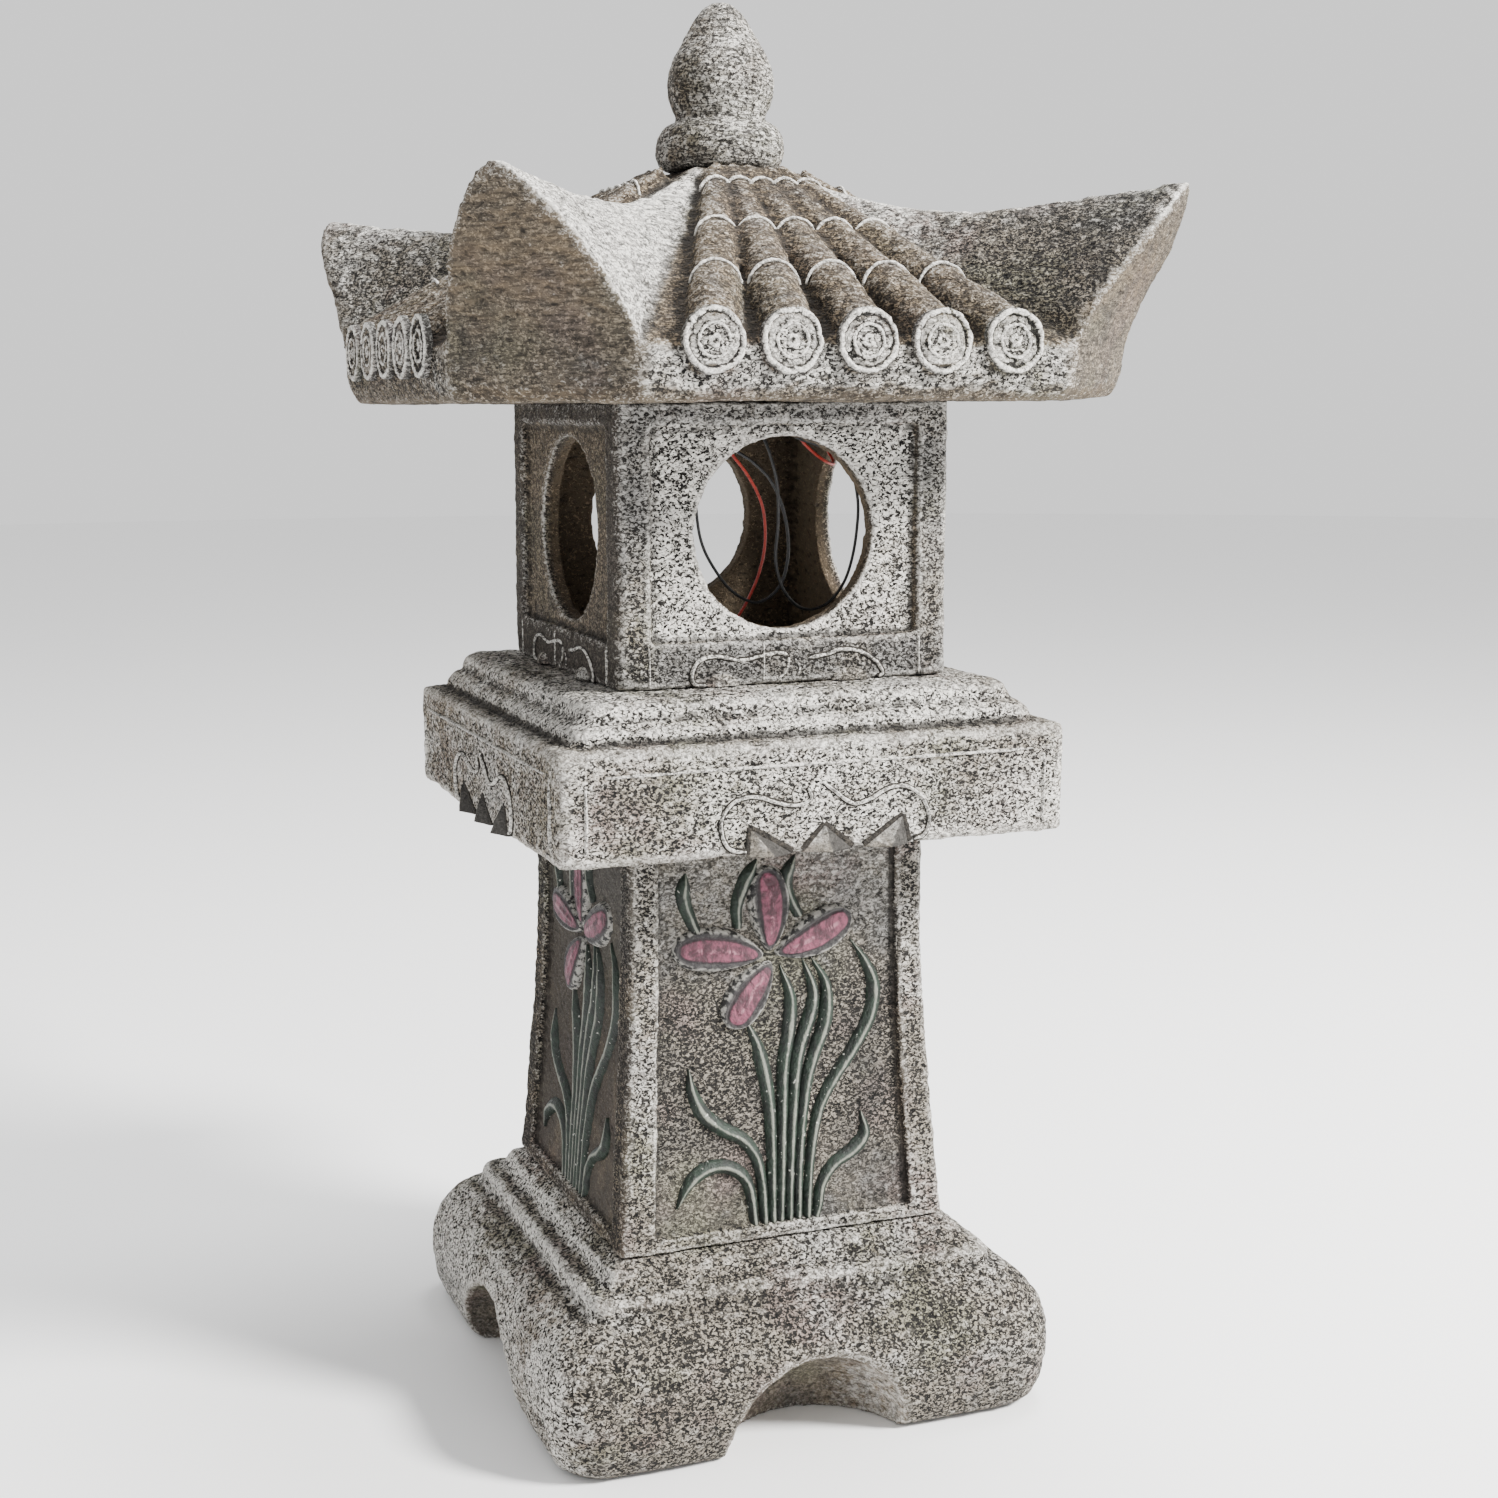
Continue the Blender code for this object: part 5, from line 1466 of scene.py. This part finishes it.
def ring_tube(bm, middle, radius, half, start, end, count):
    """A thin bead round the upper side of a roll."""
    rows = []
    for i in range(count + 1):
        angle = start + (end - start) * i / count
        out = Vector((math.cos(angle), 0, math.sin(angle)))
        row = []
        for j in range(6):
            turn = 2 * math.pi * j / 6
            beside = Vector((0, half * math.sin(turn), 0))
            row.append(bm.verts.new(middle + out * (radius + half * math.cos(turn)) + beside))
        rows.append(row)
    join_rows(bm, rows)


def make_tile_lips(mat):
    """The limed plaster bead along each tile's lip."""
    bm = bmesh.new()
    for side, turn in enumerate(QUARTERS):
        start = len(bm.verts)
        for lane in tile_lanes(side):
            for out in tile_joints():
                middle, radius = tile_axis(lane, out)
                ring_tube(bm, middle, radius - 0.0001, LIP_RADIUS, math.radians(8), math.radians(172), 30)
        turn_new(bm, start, turn)
    lips = place("tile_lips", bm, mat, smooth=True)
    rough_up(lips, 15, 0.0003, 500)
    limed(lips, lime_and_light=0.95, brown_and_shade=0.3, edge=-0.7)
    return lips


DISC_PROFILE = [
    (0.0004, 0.55), (0.0012, 0.95), (0.0020, 0.70), (0.0027, 0.15), (0.0036, 0.05), (0.0042, 0.35),
    (0.0048, 0.85), (0.0053, 0.95), (0.0058, 0.45), (0.0065, 0.10), (0.0074, 0.12), (0.0081, 0.45),
    (0.0088, 0.95), (0.0094, 1.0), (0.0099, 0.75), (0.0102, 0.25),
]  # radius, height as a share of DISC_RELIEF
DISC_RELIEF = 0.0015
DISC_FACE = -TILE_OUT + DISC_RELIEF * 0.55
DISC_BACK = 0.0022
DISC_STEPS = 64


def add_disc(bm, side, lane):
    """One roll's end; its wear is a noise of its own, which side and lane pick."""
    middle, _ = tile_axis(lane, TILE_OUT)
    rows = []
    for radius, share in DISC_PROFILE:
        row = []
        for j in range(DISC_STEPS):
            angle = 2 * math.pi * j / DISC_STEPS
            spot = Vector((radius * math.cos(angle), side * 0.05 + lane * 0.03, radius * math.sin(angle)))
            worn = noise.fractal(spot * 650, 0.8, 2.1, 2)
            wobble = 1 + 0.05 * noise.noise(spot * 260)
            up = DISC_RELIEF * min(max(share + 0.42 * worn, 0.0), 1.0)
            row.append(bm.verts.new((middle.x + spot.x * wobble, DISC_FACE - up, middle.z + spot.z * wobble)))
        rows.append(row)
    rows.append([bm.verts.new((v.co.x, -TILE_OUT + DISC_BACK, v.co.z)) for v in rows[-1]])
    join_rows(bm, rows)


def make_tile_ends(mat):
    """The round end of each roll, with its two worn rings, a boss and rough dashes between them."""
    bm = bmesh.new()
    for side, turn in enumerate(QUARTERS):
        start = len(bm.verts)
        for lane in tile_lanes(side):
            add_disc(bm, side, lane)
        turn_new(bm, start, turn)
    ends = place("tile_ends", bm, mat, smooth=True)
    mesh = ends.data
    co, normals = arrays(mesh)
    pairs = edges_of(mesh)
    hollow = hollowness(co, normals, pairs, 3)
    write_attribute(mesh, "broad", np.clip(hollow / 0.00018, -1, 1))
    write_attribute(mesh, "fine", np.clip(hollowness(co, normals, pairs, 1) / 0.00010, -1, 1))
    brown_and_shade = plain_looks(co, normals)[1]
    up = near_and_out(co)[1] - (TILE_OUT - DISC_RELIEF * 0.55)
    crest = ramp(up, DISC_RELIEF * 0.45, DISC_RELIEF * 0.85)
    write_stains_and_light(mesh, 0.10 + 0.85 * crest, brown_and_shade * 0.6, 0.75 - 0.80 * crest, 0.25 * crest)
    return ends


PLINTH_HALF_X = 0.0325
PLINTH_IN = 0.048
PLINTH_OUT = 0.104
PLINTH_PROUD = 0.011
RECESS_HALF_X = 0.0305
RECESS_HALF_Y = 0.0285
RECESS_DEEP = 0.0034


def slope_frame():
    """The rear bay's own frame: x across, y down the slope, z out of it, at the plinth's middle."""
    fall = math.atan2(APEX_Z - EAVE_TOP, EAVE_HALF - APEX_HALF)
    out = (PLINTH_IN + PLINTH_OUT) / 2
    t = (out - APEX_HALF) / (EAVE_HALF - APEX_HALF)
    return Matrix.Translation((0, out, bed_z(t))) @ Matrix.Rotation(-fall, 4, "X"), fall


def make_roof(mat):
    roof = place("roof_stone", roof_body(), mat)
    rolls = bmesh.new()
    for side, turn in enumerate(QUARTERS):
        for lane in tile_lanes(side):
            roll = tile_roll(lane)
            roll.transform(Matrix.Rotation(turn, 4, "Z"))
            pour(rolls, roll)
    slope, fall = slope_frame()
    long = (PLINTH_OUT - PLINTH_IN) / math.cos(fall) / 2
    plinth = box((-PLINTH_HALF_X, -long, -0.004), (PLINTH_HALF_X, long, PLINTH_PROUD))
    plinth.transform(slope)
    join(roof, plinth)
    join(roof, loft([square_ring(RIM_OUTER, z, 0.003) for z in (RIM_LOW, EAVE_LOW + 0.002)]))
    cut(roof, loft([square_ring(CAVITY_HALF, z, 0.003) for z in (RIM_LOW - 0.001, CAVITY_TOP)]))
    low, high = PLINTH_PROUD - RECESS_DEEP, PLINTH_PROUD + 0.005
    recess = box((-RECESS_HALF_X, -RECESS_HALF_Y, low), (RECESS_HALF_X, RECESS_HALF_Y, high))
    recess.transform(slope)
    bake(roof)
    rolls.from_mesh(roof.data)
    rolls.to_mesh(roof.data)
    rolls.free()
    remesh(roof, voxel=0.00142, soften=3)
    cut(roof, recess)
    bake(roof)
    roof.data.shade_smooth()
    weather(roof, 5, rough=0.00042, sway=0.0007, chip=0.0016, looks=roof_looks)
    return roof


CELL_HALF_X = 0.027
CELL_HALF_Y = 0.025
CELL_THICK = 0.0012
CELL_GAP = 0.0002
FINGERS = 17
BUS_AT = 0.0135


def make_solar_cell():
    """The panel's two silicon strips on a dark backing, with silver fingers and busbars."""
    slope, _ = slope_frame()
    top = PLINTH_PROUD - CELL_GAP
    low = top - CELL_THICK + CELL_GAP
    backing = box((-CELL_HALF_X, -CELL_HALF_Y, low), (CELL_HALF_X, CELL_HALF_Y, top - 0.00020))
    strips = bmesh.new()
    lines = bmesh.new()

    def add(bm, low, high, round_by=0.0):
        part = box(low, high)
        if round_by:
            bmesh.ops.bevel(part, geom=part.edges, offset=round_by, segments=2, affect="EDGES")
        pour(bm, part)

    for side in (-1, 1):
        x0, x1 = sorted((side * 0.0006, side * (CELL_HALF_X - 0.0008)))
        y0, y1 = -CELL_HALF_Y + 0.0008, CELL_HALF_Y - 0.0008
        add(strips, (x0, y0, top - 0.0003), (x1, y1, top - 0.00006), 0.00008)
        bus = side * BUS_AT
        y0, y1 = -CELL_HALF_Y + 0.0012, CELL_HALF_Y - 0.0012
        add(lines, (bus - 0.0006, y0, top - 0.0002), (bus + 0.0006, y1, top))
        for i in range(FINGERS):
            y = -CELL_HALF_Y + 0.0024 + (2 * CELL_HALF_Y - 0.0048) * i / (FINGERS - 1)
            add(lines, (x0 + 0.0008, y - 0.00007, top - 0.0002), (x1 - 0.0008, y + 0.00007, top - 0.00002))
    bmesh.ops.bevel(backing, geom=backing.edges, offset=0.0001, segments=2, affect="EDGES")
    dark = moulded_material("solar backing", (0.012, 0.014, 0.022), (0.030, 0.032, 0.040), 0.3)
    print_paint = metal_material("silver print", (0.60, 0.60, 0.60), (0.45, 0.45, 0.44), 0.35)
    pieces = (
        ("solar_backing", backing, dark),
        ("solar_strips", strips, cell_material()),
        ("solar_fingers", lines, print_paint),
    )
    for name, bm, mat in pieces:
        bm.transform(slope)
        stand_for(place(name, bm, mat), "roof", "solar_cell")


def roof_looks(co, normals):
    """Limed ridge slopes and fascia, sandy tiles, brown horn faces and a brown underside. Slopes and fascia
    turned to the key light are painted lighter, and those turned away browner and darker: painted light and
    shade.
    """
    near, out = near_and_out(co)
    bay = BAY_APEX_HALF + (BAY_HALF - BAY_APEX_HALF) * ramp(out, APEX_HALF, EAVE_HALF)
    up = ramp(normals[:, 2], 0.05, 0.40)
    slope = ramp(near - bay, -0.004, 0.003) * up
    # Faces turned to the key light: painted light on them and painted shade on the faces turned away.
    lit_side = ramp(normals[:, 0] - 0.5 * normals[:, 1], -0.35, 0.25)
    tiles = up * (1 - slope)
    across = (abs(co[:, 0]) + abs(co[:, 1])) / math.sqrt(2)
    horn = ramp(across, shield_reach(0) - 0.004, shield_reach(0)) * (1 - up)
    under = ramp(-normals[:, 2], 0.3, 0.7)
    rim = (out < RIM_OUTER + 0.002) * (co[:, 2] < CAVITY_TOP + 0.001)
    fascia = (1 - horn) * (1 - up) * (1 - under) * (1 - rim)
    lime_and_light = 0.38 + 0.50 * slope * lit_side - 0.14 * slope * (1 - lit_side) - 0.20 * tiles + 0.26 * fascia * lit_side
    crown = tiles * ramp(normals[:, 2], 0.55, 0.95)
    lime_and_light -= 0.20 * horn + 0.50 * np.maximum(under, rim) + 0.10 * crown
    brown_and_shade = 0.30 + 0.65 * tiles + 0.30 * horn + 0.50 * np.maximum(under, rim) + 0.40 * fascia * (1 - lit_side)
    brown_and_shade = brown_and_shade - 0.25 * slope * lit_side + 0.12 * slope * (1 - lit_side)
    soot_and_shade = 0.25 + 0.10 * horn - 0.20 * slope * lit_side - 0.10 * tiles + 0.34 * crown
    soot_and_shade = soot_and_shade + 0.16 * slope * (1 - lit_side)
    return lime_and_light, np.clip(brown_and_shade, 0, 1), soot_and_shade, 0.40 * slope * lit_side + 0.25 * under + 0.2 * tiles + 0.55 * horn


# ---- finial ----
FINIAL_PROFILE = tenths([
    (0, 4420), (195, 4420), (215, 4436), (226, 4465), (228, 4500), (221, 4535), (205, 4562), (180, 4577),
    (160, 4586), (158, 4603), (172, 4630), (184, 4665), (189, 4700), (187, 4740), (177, 4780), (162, 4817),
    (141, 4850), (115, 4893), (92, 4932), (62, 4968), (32, 4990), (0, 4995),
])  # radius, height


def make_finial(mat):
    finial = place("finial_stone", turned(FINIAL_PROFILE, 96), mat)
    remesh(finial, voxel=0.0008, soften=2)

    def keep(co):
        return np.clip((0.4998 - co[:, 2]) / 0.004, 0, 1) * np.clip((co[:, 2] - 0.4415) / 0.003, 0, 1)

    def looks(co, normals):
        lime_and_light, brown_and_shade, soot_and_shade, calm = plain_looks(co, normals)
        return lime_and_light + 0.20, brown_and_shade, soot_and_shade - 0.04, calm + 0.15

    weather(finial, 6, rough=0.0003, sway=0.0005, keep=keep, looks=looks)
    return finial


def stand_for(piece, body, node):
    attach(piece, body)
    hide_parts(node)


def main():
    make_camera()
    make_leads()
    make_stage()
    grey = stone_material("cast stone")
    streaked = stone_material("roof stone", streaks=0.55)
    stand_for(make_base(grey), "stand", "base")
    stand_for(make_post(grey), "stand", "post")
    petals, leaves = make_flowers(petal_material(), leaf_material())
    stand_for(petals, "stand", "post")
    stand_for(leaves, "stand", "post")
    stand_for(make_slab(grey), "stand", "platform_slab")
    curls = scrolls("slab_scrolls", 13, grey, slab_face, SLAB_SCROLLS, 0.0011, SLAB_LINES, 0.0005, 0.0007)
    stand_for(curls, "stand", "platform_slab")
    stand_for(make_slab_petals(grey), "stand", "platform_slab")
    # The dark strips along the slab's scrolls and petal outlines: painted groove shadow.
    hollows = groove_shadow_strips("slab_scroll_groove_shadows", SLAB_SCROLLS + petal_outlines(), slab_face, grey)
    stand_for(hollows, "stand", "platform_slab")
    stand_for(make_light_box(grey), "stand", "light_box")
    curls = scrolls("light_box_scrolls", 14, grey, box_face, BOX_SCROLLS, 0.00075, BOX_LINES, 0.0004, 0.0005)
    stand_for(curls, "stand", "light_box")
    # The dark strips along the light box's scrolls: painted groove shadow.
    stand_for(groove_shadow_strips("light_box_scroll_groove_shadows", BOX_SCROLLS, box_face, grey), "stand", "light_box")
    stand_for(make_box_bosses(grey), "stand", "light_box")
    stand_for(make_roof(streaked), "roof", "roof")
    stand_for(make_tile_ends(grey), "roof", "roof")
    stand_for(make_tile_lips(grey), "roof", "roof")
    stand_for(make_finial(streaked), "roof", "finial")
    make_solar_cell()
    finish_kit()


main()
